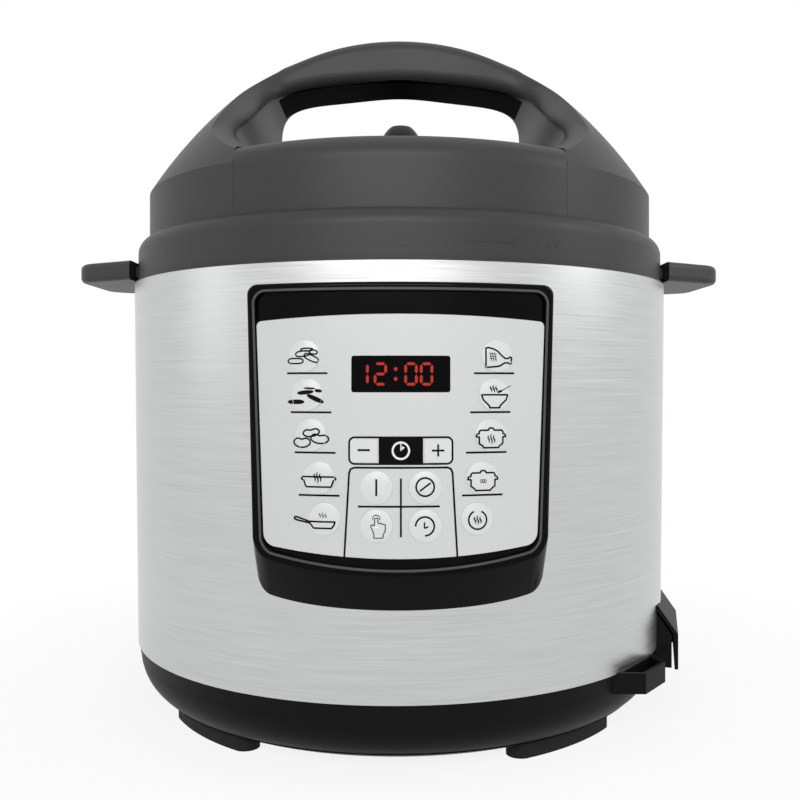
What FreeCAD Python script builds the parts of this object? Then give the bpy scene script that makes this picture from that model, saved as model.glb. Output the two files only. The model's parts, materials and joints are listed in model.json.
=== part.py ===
import FreeCAD, Part
import math
import os

os.makedirs("parts", exist_ok=True)

V = FreeCAD.Vector
UP = V(0, 0, 1)
ORIGIN = V(0, 0, 0)

# All sizes are millimetres. The cooker stands on z = 0 with its axis on Z and its panel facing -Y.
# Angles round the axis are in degrees from the front, growing towards +X.

# Clearances
slack = 0.3
close_fit = 0.1
cut_over = 5.0

# Steel shell: a slightly tapered sleeve
shell_r_top = 130.0
shell_taper = 1.7
shell_r_foot = shell_r_top - shell_taper
shell_z_foot = 31.0
shell_z_top = 198.0
shell_wall = 0.8

# Base ring: a bowl edge under the shell
bowl_r_ledge = shell_r_foot - 0.3
bowl_r_wall = shell_r_foot - 1.4
bowl_z_wall = 25.2
bowl_r_mid = shell_r_foot - 6.8
bowl_z_mid = 12.2
bowl_r_seam = shell_r_foot - 11.1
bowl_z_seam = 8.5
bowl_wall = 2.5
bowl_lip_wall = 2.0
bowl_lip_height = 7.0
bowl_flange_r = bowl_r_seam - 29.2
bowl_flange_t = 2.5

# Bottom plate with vent slots
plate_z = 5.0
plate_r = bowl_r_seam - 6.6
plate_seam = 0.4
plate_step_r = bowl_r_seam - 5.2
vent_count = 10
vent_r = 52.0
vent_length = 24.0
vent_width = 4.0

# Feet: four arc pads
foot_count = 4
foot_r_out = plate_r + 2.4
foot_r_in = foot_r_out - 11.5
foot_half_deg = 16.0
foot_first_deg = 40.0
foot_body = 12.0

# Collar ring at the top of the shell
collar_r = shell_r_top - 1.7
collar_z_wall = 212.4
collar_z_top = 218.8
collar_r_top = collar_r - 3.9
collar_r_mid = collar_r - 1.1
collar_z_mid = 216.3
collar_skirt = 6.0
collar_bead_r = collar_r + 1.3
collar_bead_t = 0.8
collar_skirt_wall = 2.5
collar_ledge_z = 201.5
collar_ledge_t = 2.5
collar_ledge_r = 115.0

# Side handles
ear_z = 200.0
ear_t = 9.0
ear_reach = collar_r + 27.1
ear_root_half = 42.0
ear_tip_half = 25.0
ear_tongue = 2.3
ear_tongue_half = 30.0
ear_tongue_t = 5.0
ear_corner = 14.0
ear_edge = 2.5

# Heater housing (outer pot) and its locking flange
housing_r = 113.2
housing_wall = 1.2
housing_z_floor = 40.0
housing_z_top = 211.0
housing_seat_r = 117.5
housing_seat_t = 1.5
lug_count = 6
lug_deg = 26.0
lug_t = 3.0
lug_r = 118.5

# Inner pot
pot_r = 111.5
pot_wall = 1.5
pot_z_floor = 58.0
pot_rim_r = 116.5
pot_rim_t = 1.5
pot_corner = 12.0

# Heating plate, element and temperature sensor
heater_r = 88.0
heater_t = 10.0
heater_foot_r_in = 60.0
heater_foot_r_out = 66.0
element_r = 74.0
element_tube_r = 3.0
element_open_deg = 40.0
terminal_r = 2.0
sensor_r = 16.0
sensor_t = 8.0
sensor_stem_r = 5.0
sensor_stem_low = 34.0
spring_coil_r = 8.0
spring_wire_r = 0.8
spring_turns = 4

# Control parts under the heater housing
switch_size = 18.0
switch_height = 14.0
switch_at = 45.0
fuse_r = 4.0
fuse_length = 24.0
fuse_at = -42.0
board_width = 96.0
board_depth = 62.0
board_t = 1.6
board_z = 16.0
board_y = 10.0
board_post_r = 3.5
relay_size = 18.0
relay_height = 12.0
core_width = 26.0
core_height = 15.0
lead_r = 1.4

# Bezel of the control panel, on a cone that leans out towards its foot
face_z_top = 189.4
face_r_top = shell_r_top + 5.5
face_z_foot = 84.6
face_r_foot = face_r_top + 4.4
bezel_half_top = 58.6
bezel_half_foot = 54.7
bezel_z_foot = 82.2
bezel_corner_top = 4.0
bezel_corner_foot = 11.0
bezel_chin_slope = 1.37
bezel_chin_sag = 17.5
bezel_chin_at = 48.0
bezel_edge = 1.4
rim_width = 3.4
rim_foot_width = 2.4
recess_depth = 1.2
recess_sag = 6.0
recess_corner = 7.0
front_wall = 2.0
bezel_skin = 3.0
shell_window_margin = 6.0

# Silver control panel in the bezel's recess
panel_t = 0.9
panel_z_top = 177.4
panel_half_top = 54.5
panel_top_sag = 2.3
panel_z_foot = 88.1
panel_half_foot = 51.0
panel_foot_sag = 4.0
panel_corner_top = 2.0
panel_corner_foot = 5.0

# Display
display_width = 36.4
display_height = 13.5
display_z = 155.3
display_corner = 1.0
module_gap = 1.5

# Keys
key_r = 6.0
key_dome = 0.6
key_rim = 0.2
key_flange = 0.7
key_flange_t = 1.0
key_flange_gap = 0.4
bar_key_x = 13.6
bar_key_z = 127.3
bar_key_width = 9.8
bar_key_height = 8.4
bar_key_corner = 1.2
membrane_t = 1.0
membrane_gap = 1.3
control_board_y = 10.4 - shell_r_top
control_board_half = 42.0
control_board_z0 = 92.0
control_board_z1 = 174.0
tab_overlap = 4.0
tab_reach = 51.6
tab_t = 1.4
tab_z = 134.0
tab_height = 12.0

# Inlet hood, inlet block and tray, low on the right side
hood_deg = 75.0
hood_reach = 7.7
hood_d = shell_r_foot + hood_reach
hood_half = 23.5
hood_wall = 1.6
hood_z_foot = 22.4
hood_z_wall = 38.2
hood_z_roof = 48.9
hood_gap = 1.2
hood_roof_gap = 2.6
hood_end_wall = 1.6
inlet_back = shell_r_foot - 12.3
inlet_depth = hood_d - inlet_back
inlet_half = 21.5
inlet_ridge = 0.8
inlet_ridge_z = 31.2
socket_half = 11.5
socket_height = 10.0
socket_z = 29.4
socket_depth = 13.0
pin_count = 3
pin_pitch = 7.0
pin_width = 1.6
pin_height = 4.0
pin_length = 7.5
tray_deg = 52.0
tray_half = 10.2
tray_side_deg = 54.0
tray_d = shell_r_foot + 8.7
tray_z_foot = 22.8
tray_z_top = 31.5
tray_wall = 1.5
tray_floor = 1.6
tray_root = shell_r_foot - 2.8

# Lid cover
lid_r = collar_r - 5.2
lid_wall = 2.0
lid_z_foot = 206.0
lid_z_edge = 238.3
lid_z_top = 248.3
post_at = 55.0

# Arched lid handle: stations from the middle of the arch to the leg, each with the inner point,
# the outer point and half the depth. Distances from the axis are shares of the lid's radius.
arch_inner_share = [0.0, 0.252, 0.455, 0.524, 0.5565, 0.5605, 0.5443]
arch_inner_z = [300.5, 298.3, 293.3, 283.0, 270.5, 255.0, 240.0]
arch_outer_share = [0.0, 0.309, 0.504, 0.682, 0.861, 0.991, 1.072]
arch_outer_z = [321.2, 314.6, 304.8, 292.0, 274.0, 258.0, 240.0]
arch_half_share = [0.148, 0.1625, 0.1706, 0.3087, 0.4712, 0.6661, 0.9098]
arch_inner_x = [share * lid_r for share in arch_inner_share]
arch_outer_x = [share * lid_r for share in arch_outer_share]
arch_half = [share * lid_r for share in arch_half_share]
arch_corner = 5.5
leg_z_foot = 214.0
dome_z_edge = 240.5
dome_r_low = 0.874 * lid_r
dome_z_low = 262.4
dome_r_waist = 0.726 * lid_r
dome_z_waist = 282.4
dome_r_mid = 0.6214 * lid_r
dome_z_mid = 293.8
dome_r_high = 0.5134 * lid_r
dome_z_high = 303.6
dome_r_flat = 0.3656 * lid_r
dome_z_flat = 318.0
dome_z_axis = 332.0
grip_half_x = 60.0
grip_end_z = 292.3
grip_inset = 2.5
grip_t = 2.5

# Inner lid with locking lugs
inner_lid_t = 1.2
inner_lid_skirt_r = 119.5
inner_lid_z_foot = 204.2
inner_lid_z_flange = 222.3
inner_lid_r_step = 98.0
inner_lid_r_crown = 86.0
inner_lid_z_crown = 236.0
inner_lug_r = 115.0
inner_lug_t = 2.8

# Sealing ring and its rack
seal_r_in = 107.0
seal_r_out = 118.8
seal_z_foot = 213.1
seal_lip = 2.5
seal_web = 3.0
rack_r = 105.7
rack_t = 1.2
rack_z_foot = 214.5
rack_z_top = 221.0

# Steam valve behind the handle
valve_y = 58.0
pipe_r = 4.0
pipe_bore_r = 1.6
pipe_z_foot = 228.0
pipe_z_top = 272.0
pipe_flange_r = 8.0
pipe_flange_t = 2.0
nut_across = 14.0
nut_t = 5.0
knob_r = 13.0
knob_r_top = 6.0
knob_z_top = 297.4
knob_z_foot = 252.0
knob_shoulder_z = 282.0
knob_shoulder_r = 11.6
knob_crown_r = 9.6
knob_crown_z = 293.2
knob_fit = 0.08
knob_tab_length = 9.0
knob_tab_width = 6.0
knob_tab_t = 5.0
shield_r = 15.0
shield_height = 9.0
shield_wall = 0.8
shield_hole_r = 1.4
shield_hole_count = 12

# Float valve
float_x = -38.0
float_y = 44.0
float_r = 3.4
float_fit = 0.08
float_z_top = 248.0
float_z_foot = 226.0
float_head_r = 5.0
float_head_t = 3.0
float_well_r = 7.5
cap_r = 6.0
cap_t = 3.0

# Fasteners
screw_r = 1.8
screw_head_r = 3.6
screw_head_t = 2.2
screw_length = 12.0
bottom_screw_r = plate_r - 14.6
bottom_screw_deg = 85.0
boss_r = 5.0
bezel_screw_x_high = 55.2
bezel_screw_z_high = 176.0
bezel_screw_x_low = 52.0
bezel_screw_z_low = 100.0
bezel_screw_length = 6.5
lid_screw_x = 80.0
lid_screw_y = 48.0
lid_screw_length = 11.0


def spot(deg, r, z=0.0):
    """A point at an angle from the front, a radius and a height."""
    a = math.radians(deg)
    return V(r * math.sin(a), -r * math.cos(a), z)


def turned(start, *steps):
    """A solid of revolution from a closed profile, in lines and arcs through a middle point."""
    edges = []
    here = V(start[0], 0, start[1])
    for step in list(steps) + [start]:
        if isinstance(step[0], tuple):
            middle = V(step[0][0], 0, step[0][1])
            there = V(step[1][0], 0, step[1][1])
            edges.append(Part.Arc(here, middle, there).toShape())
        else:
            there = V(step[0], 0, step[1])
            edges.append(Part.makeLine(here, there))
        here = there
    face = Part.Face(Part.Wire(edges))
    return face.revolve(ORIGIN, UP, 360)


def tube(r_in, r_out, z0, z1):
    """A plain ring."""
    outer = Part.makeCylinder(r_out, z1 - z0, V(0, 0, z0))
    inner = Part.makeCylinder(r_in, z1 - z0, V(0, 0, z0))
    return outer.cut(inner)


def slab(x0, x1, y0, y1, z0, z1):
    """A box from its limits."""
    return Part.makeBox(x1 - x0, y1 - y0, z1 - z0, V(x0, y0, z0))


def sector(deg, width, r_in, r_out, z0, z1):
    """A piece of a ring centred on an angle."""
    outer = Part.makeCylinder(r_out, z1 - z0, V(0, 0, z0), UP, width)
    inner = Part.makeCylinder(r_in, z1 - z0, V(0, 0, z0))
    piece = outer.cut(inner)
    piece.rotate(ORIGIN, UP, deg - 90 - width / 2)
    return piece


def prism(points, z0, z1):
    """An upright prism over a plan polygon."""
    wire = Part.makePolygon(points + [points[0]])
    face = Part.Face(wire)
    face.translate(V(0, 0, z0))
    return face.extrude(V(0, 0, z1 - z0))


def local_box(deg, d0, d1, t0, t1, z0, z1):
    """A box standing at an angle from the front: d is outwards and t runs towards growing angles."""
    box = slab(t0, t1, -d1, -d0, z0, z1)
    box.rotate(ORIGIN, UP, deg)
    return box


def edges_along(shape, direction, keep=None):
    """The straight edges of a shape that lie along a direction."""
    found = []
    for edge in shape.Edges:
        if not isinstance(edge.Curve, Part.Line):
            continue
        if abs(abs(edge.Curve.Direction.dot(direction)) - 1) > 1e-6:
            continue
        if keep is None or keep(edge.CenterOfMass):
            found.append(edge)
    return found


def write(name, *solids):
    """One node as a STEP file."""
    shape = solids[0] if len(solids) == 1 else Part.makeCompound(list(solids))
    if not shape.isValid():
        print("not valid:", name)
    if len(shape.Solids) != len(solids):
        print("solids:", name, len(shape.Solids))
    shape.exportStep("parts/" + name + ".step")


def shell_r(z):
    """The outside radius of the steel shell at a height."""
    share = (z - shell_z_foot) / (shell_z_top - shell_z_foot)
    return shell_r_foot + share * (shell_r_top - shell_r_foot)


def face_r(z):
    """The radius of the bezel's front cone at a height."""
    share = (z - face_z_foot) / (face_z_top - face_z_foot)
    return face_r_foot + share * (face_r_top - face_r_foot)


panel_low = shell_z_foot
panel_high = shell_z_top
face_lean = math.atan((face_r_foot - face_r_top) / (face_z_top - face_z_foot))


def cone_band(depth_out, depth_in):
    """The space between two cones that lie at these depths behind the bezel's front cone."""
    return turned(
        (face_r(panel_low) - depth_in, panel_low),
        (face_r(panel_low) - depth_out, panel_low),
        (face_r(panel_high) - depth_out, panel_high),
        (face_r(panel_high) - depth_in, panel_high),
    )


def panel_outline(half_top, half_foot, z_top, z_foot, top_sag, foot_sag, corner_top, corner_foot):
    """A prism along Y whose front view is a tapered plate with bowed ends and rounded corners."""
    left_high = V(-half_top, 0, z_top - top_sag)
    right_high = V(half_top, 0, z_top - top_sag)
    left_low = V(-half_foot, 0, z_foot + foot_sag)
    right_low = V(half_foot, 0, z_foot + foot_sag)
    edges = [
        bowed(left_high, V(0, 0, z_top), right_high),
        Part.makeLine(right_high, right_low),
        bowed(right_low, V(0, 0, z_foot), left_low),
        Part.makeLine(left_low, left_high),
    ]
    face = Part.Face(Part.Wire(edges))
    face.translate(V(0, -2 * shell_r_top, 0))
    block = face.extrude(V(0, 2 * shell_r_top, 0))
    along = V(0, 1, 0)
    middle = (z_top + z_foot) / 2
    block = block.makeFillet(corner_top, edges_along(block, along, lambda c: c.z > middle))
    return block.makeFillet(corner_foot, edges_along(block, along, lambda c: c.z < middle))


def bowed(a, middle, b):
    """An arc through a middle point, or a line where the three points lie in a row."""
    if abs(a.z - middle.z) < 1e-6:
        return Part.makeLine(a, b)
    return Part.Arc(a, middle, b).toShape()


# Steel shell
shell_foot_in = shell_r_foot - shell_wall
shell_top_in = shell_r_top - shell_wall
shell = turned(
    (shell_foot_in, shell_z_foot),
    (shell_r_foot, shell_z_foot),
    (shell_r_top, shell_z_top),
    (shell_top_in, shell_z_top),
)
shell_window = panel_outline(
    bezel_half_top - shell_window_margin,
    bezel_half_foot - shell_window_margin,
    face_z_top - shell_window_margin,
    bezel_z_foot + shell_window_margin,
    0.0,
    0.0,
    bezel_corner_top,
    bezel_corner_foot,
)
shell = shell.cut(shell_window)
inlet_z_top = hood_z_roof - hood_roof_gap
inlet_hole = local_box(
    hood_deg,
    hood_d - inlet_depth,
    hood_d,
    -inlet_half - slack,
    inlet_half + slack,
    hood_z_foot - slack,
    inlet_z_top + slack,
)
shell = shell.cut(inlet_hole)

# Base ring
lip_r = shell_foot_in - slack
lip_z = shell_z_foot + bowl_lip_height
diagonal = bowl_wall * math.sqrt(0.5)
flange_top = bowl_z_seam + bowl_flange_t
base_ring = turned(
    (lip_r, shell_z_foot),
    (bowl_r_ledge, shell_z_foot),
    (bowl_r_wall, bowl_z_wall),
    ((bowl_r_mid, bowl_z_mid), (bowl_r_seam, bowl_z_seam)),
    (bowl_flange_r, bowl_z_seam),
    (bowl_flange_r, flange_top),
    (bowl_r_seam - diagonal, flange_top),
    ((bowl_r_mid - diagonal, bowl_z_mid + diagonal), (bowl_r_wall - bowl_wall, bowl_z_wall)),
    (lip_r - bowl_lip_wall, lip_z),
    (lip_r, lip_z),
)
bottom_spots = []
for k in range(foot_count):
    bottom_spots.append(spot(bottom_screw_deg + k * 360 / foot_count, bottom_screw_r))
for at in bottom_spots:
    boss = Part.makeCylinder(boss_r, screw_length, at + V(0, 0, flange_top))
    base_ring = base_ring.fuse(boss)
for at in bottom_spots:
    base_ring = base_ring.cut(Part.makeCylinder(screw_r, screw_length, at + V(0, 0, bowl_z_seam)))
base_ring = base_ring.removeSplitter()
base_ring = base_ring.cut(inlet_hole)
write("base_ring", base_ring)

# Bottom plate
seam_top = bowl_z_seam - plate_seam
plate = turned(
    (0, plate_z),
    (plate_r, plate_z),
    (bowl_r_seam, seam_top),
    (plate_step_r, seam_top),
    (plate_step_r, bowl_z_seam),
    (0, bowl_z_seam),
)
for k in range(vent_count):
    slot_x = vent_width / 2
    slot_y = vent_length / 2
    slot = slab(-slot_x, slot_x, -vent_r - slot_y, -vent_r + slot_y, 0, flange_top)
    slot.rotate(ORIGIN, UP, (k + 0.5) * 360 / vent_count)
    plate = plate.cut(slot)
for at in bottom_spots:
    plate = plate.cut(Part.makeCylinder(screw_head_r + slack, plate_z + screw_head_t, at))
    plate = plate.cut(Part.makeCylinder(screw_r + close_fit, bowl_z_seam, at))
write("bottom_plate", plate)

# Feet
under = turned(
    (0, plate_z - close_fit),
    (plate_r, plate_z - close_fit),
    (bowl_r_seam, seam_top - close_fit),
    ((bowl_r_mid, bowl_z_mid), (bowl_r_wall, bowl_z_wall)),
    (0, bowl_z_wall),
)
foot_mid = (foot_r_in + foot_r_out) / 2
foot_end = (foot_r_out - foot_r_in) / 2
end_deg = foot_half_deg - math.degrees(foot_end / foot_mid)
feet = []
for k in range(foot_count):
    deg = foot_first_deg + k * 360 / foot_count
    foot = sector(deg, 2 * end_deg, foot_r_in, foot_r_out, 0, foot_body)
    for side in (-1, 1):
        foot = foot.fuse(Part.makeCylinder(foot_end, foot_body, spot(deg + side * end_deg, foot_mid)))
    foot = foot.removeSplitter().cut(under)
    feet.append(foot)
write("feet", *feet)

# Bottom screws
bottom_screws = []
for at in bottom_spots:
    head = Part.makeCylinder(screw_head_r, screw_head_t, at + V(0, 0, plate_z))
    shank = Part.makeCylinder(screw_r, screw_length, at + V(0, 0, plate_z))
    bottom_screws.append(head.fuse(shank).removeSplitter())
write("bottom_screws", *bottom_screws)

# Side handles
ear_plan = [
    V(collar_r - ear_edge, -ear_root_half, 0),
    V(ear_reach, -ear_tip_half, 0),
    V(ear_reach, ear_tip_half, 0),
    V(collar_r - ear_edge, ear_root_half, 0),
]
ear = prism(ear_plan, ear_z, ear_z + ear_t)
ear = ear.makeFillet(ear_corner, edges_along(ear, UP, lambda c: c.x > ear_reach - ear_edge))
outline = []
for edge in ear.Edges:
    level = abs(edge.tangentAt(edge.FirstParameter).z) < 0.5
    if level and edge.CenterOfMass.x > collar_r:
        outline.append(edge)
ear = ear.makeFillet(ear_edge, outline)
ear = ear.cut(Part.makeCylinder(collar_r + close_fit, ear_z + 2 * ear_t))
tongue_mid = ear_z + ear_t / 2


def tongue(grow):
    """The root of a side handle that sits in the collar's wall."""
    block = slab(
        0,
        collar_r + ear_tongue,
        -ear_tongue_half - grow,
        ear_tongue_half + grow,
        tongue_mid - ear_tongue_t / 2 - grow,
        tongue_mid + ear_tongue_t / 2 + grow,
    )
    return block.cut(Part.makeCylinder(collar_r - ear_tongue - grow, ear_z + 2 * ear_t))


right_ear = ear.fuse(tongue(0)).removeSplitter()
left_ear = right_ear.copy()
left_ear.rotate(ORIGIN, UP, 180)
write("side_handle_right", right_ear)
write("side_handle_left", left_ear)

# Collar ring
collar_in = lid_r + slack + close_fit
collar_foot = shell_z_top - collar_skirt
collar = turned(
    (collar_r - collar_skirt_wall, collar_foot),
    (collar_r, collar_foot),
    (collar_r, shell_z_top),
    (collar_bead_r, shell_z_top),
    (collar_bead_r, shell_z_top + collar_bead_t),
    (collar_r, shell_z_top + collar_bead_t),
    (collar_r, collar_z_wall),
    ((collar_r_mid, collar_z_mid), (collar_r_top, collar_z_top)),
    (collar_in, collar_z_top),
    (collar_in, collar_ledge_z),
    (collar_ledge_r, collar_ledge_z),
    (collar_ledge_r, collar_ledge_z - collar_ledge_t),
    (collar_r - collar_skirt_wall, collar_ledge_z - collar_ledge_t),
)
for turn in (0, 180):
    pocket = tongue(close_fit)
    pocket.rotate(ORIGIN, UP, turn)
    collar = collar.cut(pocket)
write("upper_ring", collar)

# Heater housing with its locking flange
housing_out = housing_r + housing_wall
seat_z = collar_ledge_z
housing = turned(
    (0, housing_z_floor),
    (housing_out, housing_z_floor),
    (housing_out, seat_z),
    (housing_seat_r, seat_z),
    (housing_seat_r, seat_z + housing_seat_t),
    (housing_out, seat_z + housing_seat_t),
    (housing_out, housing_z_top),
    (housing_r, housing_z_top),
    (housing_r, housing_z_floor + housing_wall),
    (0, housing_z_floor + housing_wall),
)
for k in range(lug_count):
    lug = sector(k * 360 / lug_count, lug_deg, housing_r, lug_r, housing_z_top - lug_t, housing_z_top)
    housing = housing.fuse(lug)
housing = housing.removeSplitter()
housing = housing.cut(Part.makeCylinder(sensor_stem_r + slack, housing_z_floor, V(0, 0, housing_z_floor / 2)))
write("outer_pot", housing)

# Inner pot
rim_z = housing_z_top + slack
inner_pot = turned(
    (0, pot_z_floor),
    (pot_r - pot_corner, pot_z_floor),
    ((pot_r - pot_corner * (1 - math.sqrt(0.5)), pot_z_floor + pot_corner * (1 - math.sqrt(0.5))),
     (pot_r, pot_z_floor + pot_corner)),
    (pot_r, rim_z),
    (pot_rim_r, rim_z),
    (pot_rim_r, rim_z + pot_rim_t),
    (pot_r - pot_wall, rim_z + pot_rim_t),
    (pot_r - pot_wall, pot_z_floor + pot_corner),
    ((pot_r - pot_wall - (pot_corner - pot_wall) * (1 - math.sqrt(0.5)),
      pot_z_floor + pot_wall + (pot_corner - pot_wall) * (1 - math.sqrt(0.5))),
     (pot_r - pot_corner, pot_z_floor + pot_wall)),
    (0, pot_z_floor + pot_wall),
)
write("inner_pot", inner_pot)

# Heating plate
heater_z = pot_z_floor - heater_t
floor_top = housing_z_floor + housing_wall
heater = tube(sensor_r + slack, heater_r, heater_z, pot_z_floor)
heater = heater.fuse(tube(heater_foot_r_in, heater_foot_r_out, floor_top, heater_z)).removeSplitter()
groove = Part.makeTorus(element_r, element_tube_r + close_fit, V(0, 0, heater_z), UP)
heater = heater.cut(groove)
write("heating_plate", heater)

# Heating element under the plate, with its two terminals
element = Part.makeTorus(element_r, element_tube_r, V(0, 0, heater_z), UP, -180, 180, 360 - element_open_deg)
element.rotate(ORIGIN, UP, 90 + element_open_deg / 2)
element = element.common(Part.makeCylinder(2 * heater_r, heater_t, V(0, 0, heater_z - heater_t)))
for side in (-1, 1):
    at = spot(180 + side * element_open_deg / 2, element_r, floor_top + slack)
    pin = Part.makeCylinder(terminal_r, heater_z - floor_top - slack, at)
    element = element.fuse(pin)
element = element.removeSplitter()
write("heating_element", element)

# Temperature sensor on its spring
sensor_top = pot_z_floor - close_fit
sensor_under = sensor_top - sensor_t
sensor = Part.makeCylinder(sensor_r, sensor_t, V(0, 0, sensor_under))
stem = Part.makeCylinder(sensor_stem_r, sensor_under - sensor_stem_low, V(0, 0, sensor_stem_low))
sensor = sensor.fuse(stem).removeSplitter()
write("temperature_sensor", sensor)

spring_foot = floor_top + spring_wire_r + close_fit
spring_height = sensor_under - spring_wire_r - close_fit - spring_foot
helix = Part.makeLongHelix(spring_height / spring_turns, spring_height, spring_coil_r)
helix.translate(V(0, 0, spring_foot))
ring = Part.Wire(Part.makeCircle(spring_wire_r, V(spring_coil_r, 0, spring_foot), V(0, 1, 0)))
spring = Part.Wire(helix.Edges).makePipeShell([ring], True, True)
write("sensor_spring", spring)

# Pressure switch and thermal fuse under the heater housing
switch = slab(
    switch_at - switch_size / 2,
    switch_at + switch_size / 2,
    -switch_size / 2 - switch_at,
    switch_size / 2 - switch_at,
    housing_z_floor - switch_height,
    housing_z_floor,
)
write("pressure_switch", switch)
fuse_z = housing_z_floor - fuse_r
fuse = Part.makeCylinder(fuse_r, fuse_length, V(fuse_at, fuse_at - fuse_length / 2, fuse_z), V(0, 1, 0))
clip_low = fuse_at - fuse_r
clip_high = fuse_at + fuse_r
fuse_clip = slab(clip_low, clip_high, clip_low, clip_high, fuse_z, housing_z_floor)
write("thermal_fuse", fuse.fuse(fuse_clip).removeSplitter())

# Power board on four posts
board_y0 = board_y - board_depth / 2
board_y1 = board_y + board_depth / 2
board = slab(-board_width / 2, board_width / 2, board_y0, board_y1, board_z, board_z + board_t)
for x in (-board_width / 2 + 2 * board_post_r, board_width / 2 - 2 * board_post_r):
    for y in (board_y0 + 2 * board_post_r, board_y1 - 2 * board_post_r):
        board = board.fuse(Part.makeCylinder(board_post_r, board_z - bowl_z_seam, V(x, y, bowl_z_seam)))
board_top = board_z + board_t
relay_y = relay_size / 2
relay_top = board_top + relay_height
relay = slab(-relay_size, 0, board_y - relay_y, board_y + relay_y, board_top, relay_top)
core_x = relay_size + core_width
core_y = core_width / 2
core_top = board_top + core_height
core = slab(relay_size, core_x, board_y - core_y, board_y + core_y, board_top, core_top)
board = board.fuse([relay, core]).removeSplitter()
write("power_board", board)

# Control bezel
bezel_sides = panel_outline(
    bezel_half_top,
    bezel_half_foot - (bezel_half_top - bezel_half_foot) * bezel_chin_sag / (face_z_top - bezel_z_foot),
    face_z_top,
    bezel_z_foot - 2 * bezel_chin_sag,
    0.0,
    0.0,
    bezel_corner_top,
    bezel_corner_top,
)
side_slope = (bezel_half_top - bezel_half_foot) / (face_z_top - bezel_z_foot)
chin_y = -face_r(bezel_z_foot)
chin_rise = bezel_chin_sag * (bezel_half_foot / bezel_chin_at) ** 2
chin_half = bezel_half_foot + chin_rise * side_slope
chin_high = 2 * face_z_top
chin_half_high = bezel_half_foot + (chin_high - bezel_z_foot) * side_slope
chin_left = V(-chin_half, chin_y, bezel_z_foot + chin_rise)
chin_right = V(chin_half, chin_y, bezel_z_foot + chin_rise)
chin_edges = [
    Part.Arc(chin_left, V(0, chin_y, bezel_z_foot), chin_right).toShape(),
    Part.makeLine(chin_right, V(chin_half_high, chin_y, chin_high)),
    Part.makeLine(V(chin_half_high, chin_y, chin_high), V(-chin_half_high, chin_y, chin_high)),
    Part.makeLine(V(-chin_half_high, chin_y, chin_high), chin_left),
]
chin_face = Part.Face(Part.Wire(chin_edges))
chin_slant = V(0, 1, -bezel_chin_slope)
chin_face.translate(chin_slant * -cut_over)
chin_block = chin_face.extrude(chin_slant * (2 * cut_over + shell_r_top / 2))
chin_slant.normalize()
chin_corners = edges_along(chin_block, chin_slant, lambda c: c.z < face_z_top)
chin_block = chin_block.makeFillet(bezel_corner_foot, chin_corners)
bezel_space = cone_band(0, face_r_foot - shell_r_top / 2).cut(
    turned(
        (0, panel_low),
        (shell_r_foot + close_fit, panel_low),
        (shell_r_top + close_fit, panel_high),
        (0, panel_high),
    )
)
bezel_body = bezel_sides.common(chin_block).common(bezel_space)
front_edges = []
for edge in bezel_body.Edges:
    middle = (edge.FirstParameter + edge.LastParameter) / 2
    ends = [vertex.Point for vertex in edge.Vertexes] + [edge.valueAt(middle)]
    if all(abs(math.hypot(p.x, p.y) - face_r(p.z)) < close_fit for p in ends):
        front_edges.append(edge)
bezel_body = bezel_body.makeFillet(bezel_edge, front_edges)
inner_foot = bezel_z_foot + rim_foot_width
inner_half_top = bezel_half_top - rim_width
inner_half_foot = bezel_half_foot - rim_width


def recess_outline(inset):
    """The outline of the recess inside the bezel's rim, made smaller all round by an inset."""
    return panel_outline(
        inner_half_top - inset,
        inner_half_foot - inset,
        face_z_top - rim_width - inset,
        inner_foot + inset,
        0.0,
        recess_sag,
        max(bezel_corner_top - inset, key_dome),
        recess_corner,
    )


recess = recess_outline(0).common(cone_band(-cut_over, recess_depth))
back_depth = recess_depth + front_wall
hollow = recess_outline(bezel_skin).common(cone_band(back_depth, shell_r_top / 2))
bezel_body = bezel_body.cut(recess)
bezel_body = bezel_body.cut(hollow)


def board_tab(side, grow):
    """A tab inside the bezel that carries one edge of the control board."""
    x_in = control_board_half - tab_overlap - grow
    x_low = min(side * x_in, side * tab_reach)
    return slab(
        x_low,
        x_low + tab_reach - x_in,
        control_board_y - tab_t - grow,
        control_board_y,
        tab_z - tab_height / 2 - grow,
        tab_z + tab_height / 2 + grow,
    )


for side in (-1, 1):
    bezel_body = bezel_body.fuse(board_tab(side, 0))
bezel_body = bezel_body.removeSplitter()

# Silver panel
panel = panel_outline(
    panel_half_top,
    panel_half_foot,
    panel_z_top,
    panel_z_foot,
    panel_top_sag,
    panel_foot_sag,
    panel_corner_top,
    panel_corner_foot,
)
panel_out = recess_depth - panel_t
panel = panel.common(cone_band(panel_out, recess_depth - close_fit))

# Keys: rows of the two side columns, then the four keys in the middle
column_names = ["rice", "wild_rice", "beans", "steam", "saute"]
other_names = ["meat", "soup", "stew", "slow_cook", "keep_warm"]
column_x = [35.8, 34.7, 33.2, 30.1, 28.0]
column_z = [162.0, 147.6, 132.8, 117.2, 102.2]
middle_names = [["start", "cancel"], ["manual", "delay"]]
middle_x = 8.9
middle_z = [113.9, 100.0]
key_spots = []
for name, other, x, z in zip(column_names, other_names, column_x, column_z):
    key_spots.append(("key_" + name, -x, z))
    key_spots.append(("key_" + other, x, z))
for pair, z in zip(middle_names, middle_z):
    for name, side in zip(pair, (-1, 1)):
        key_spots.append(("key_" + name, side * middle_x, z))

flange_out = back_depth + key_flange_gap
flange_in = flange_out + key_flange_t


def on_face(shape, x, z):
    """Move a shape built about Z = outwards at the origin to a place on the panel's front."""
    deg = math.degrees(math.asin(x / (face_r(z) - panel_out)))
    shape.rotate(ORIGIN, V(1, 0, 0), 90 - math.degrees(face_lean))
    shape.rotate(ORIGIN, UP, deg)
    shape.translate(spot(deg, face_r(z) - panel_out, z))
    return shape


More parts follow.
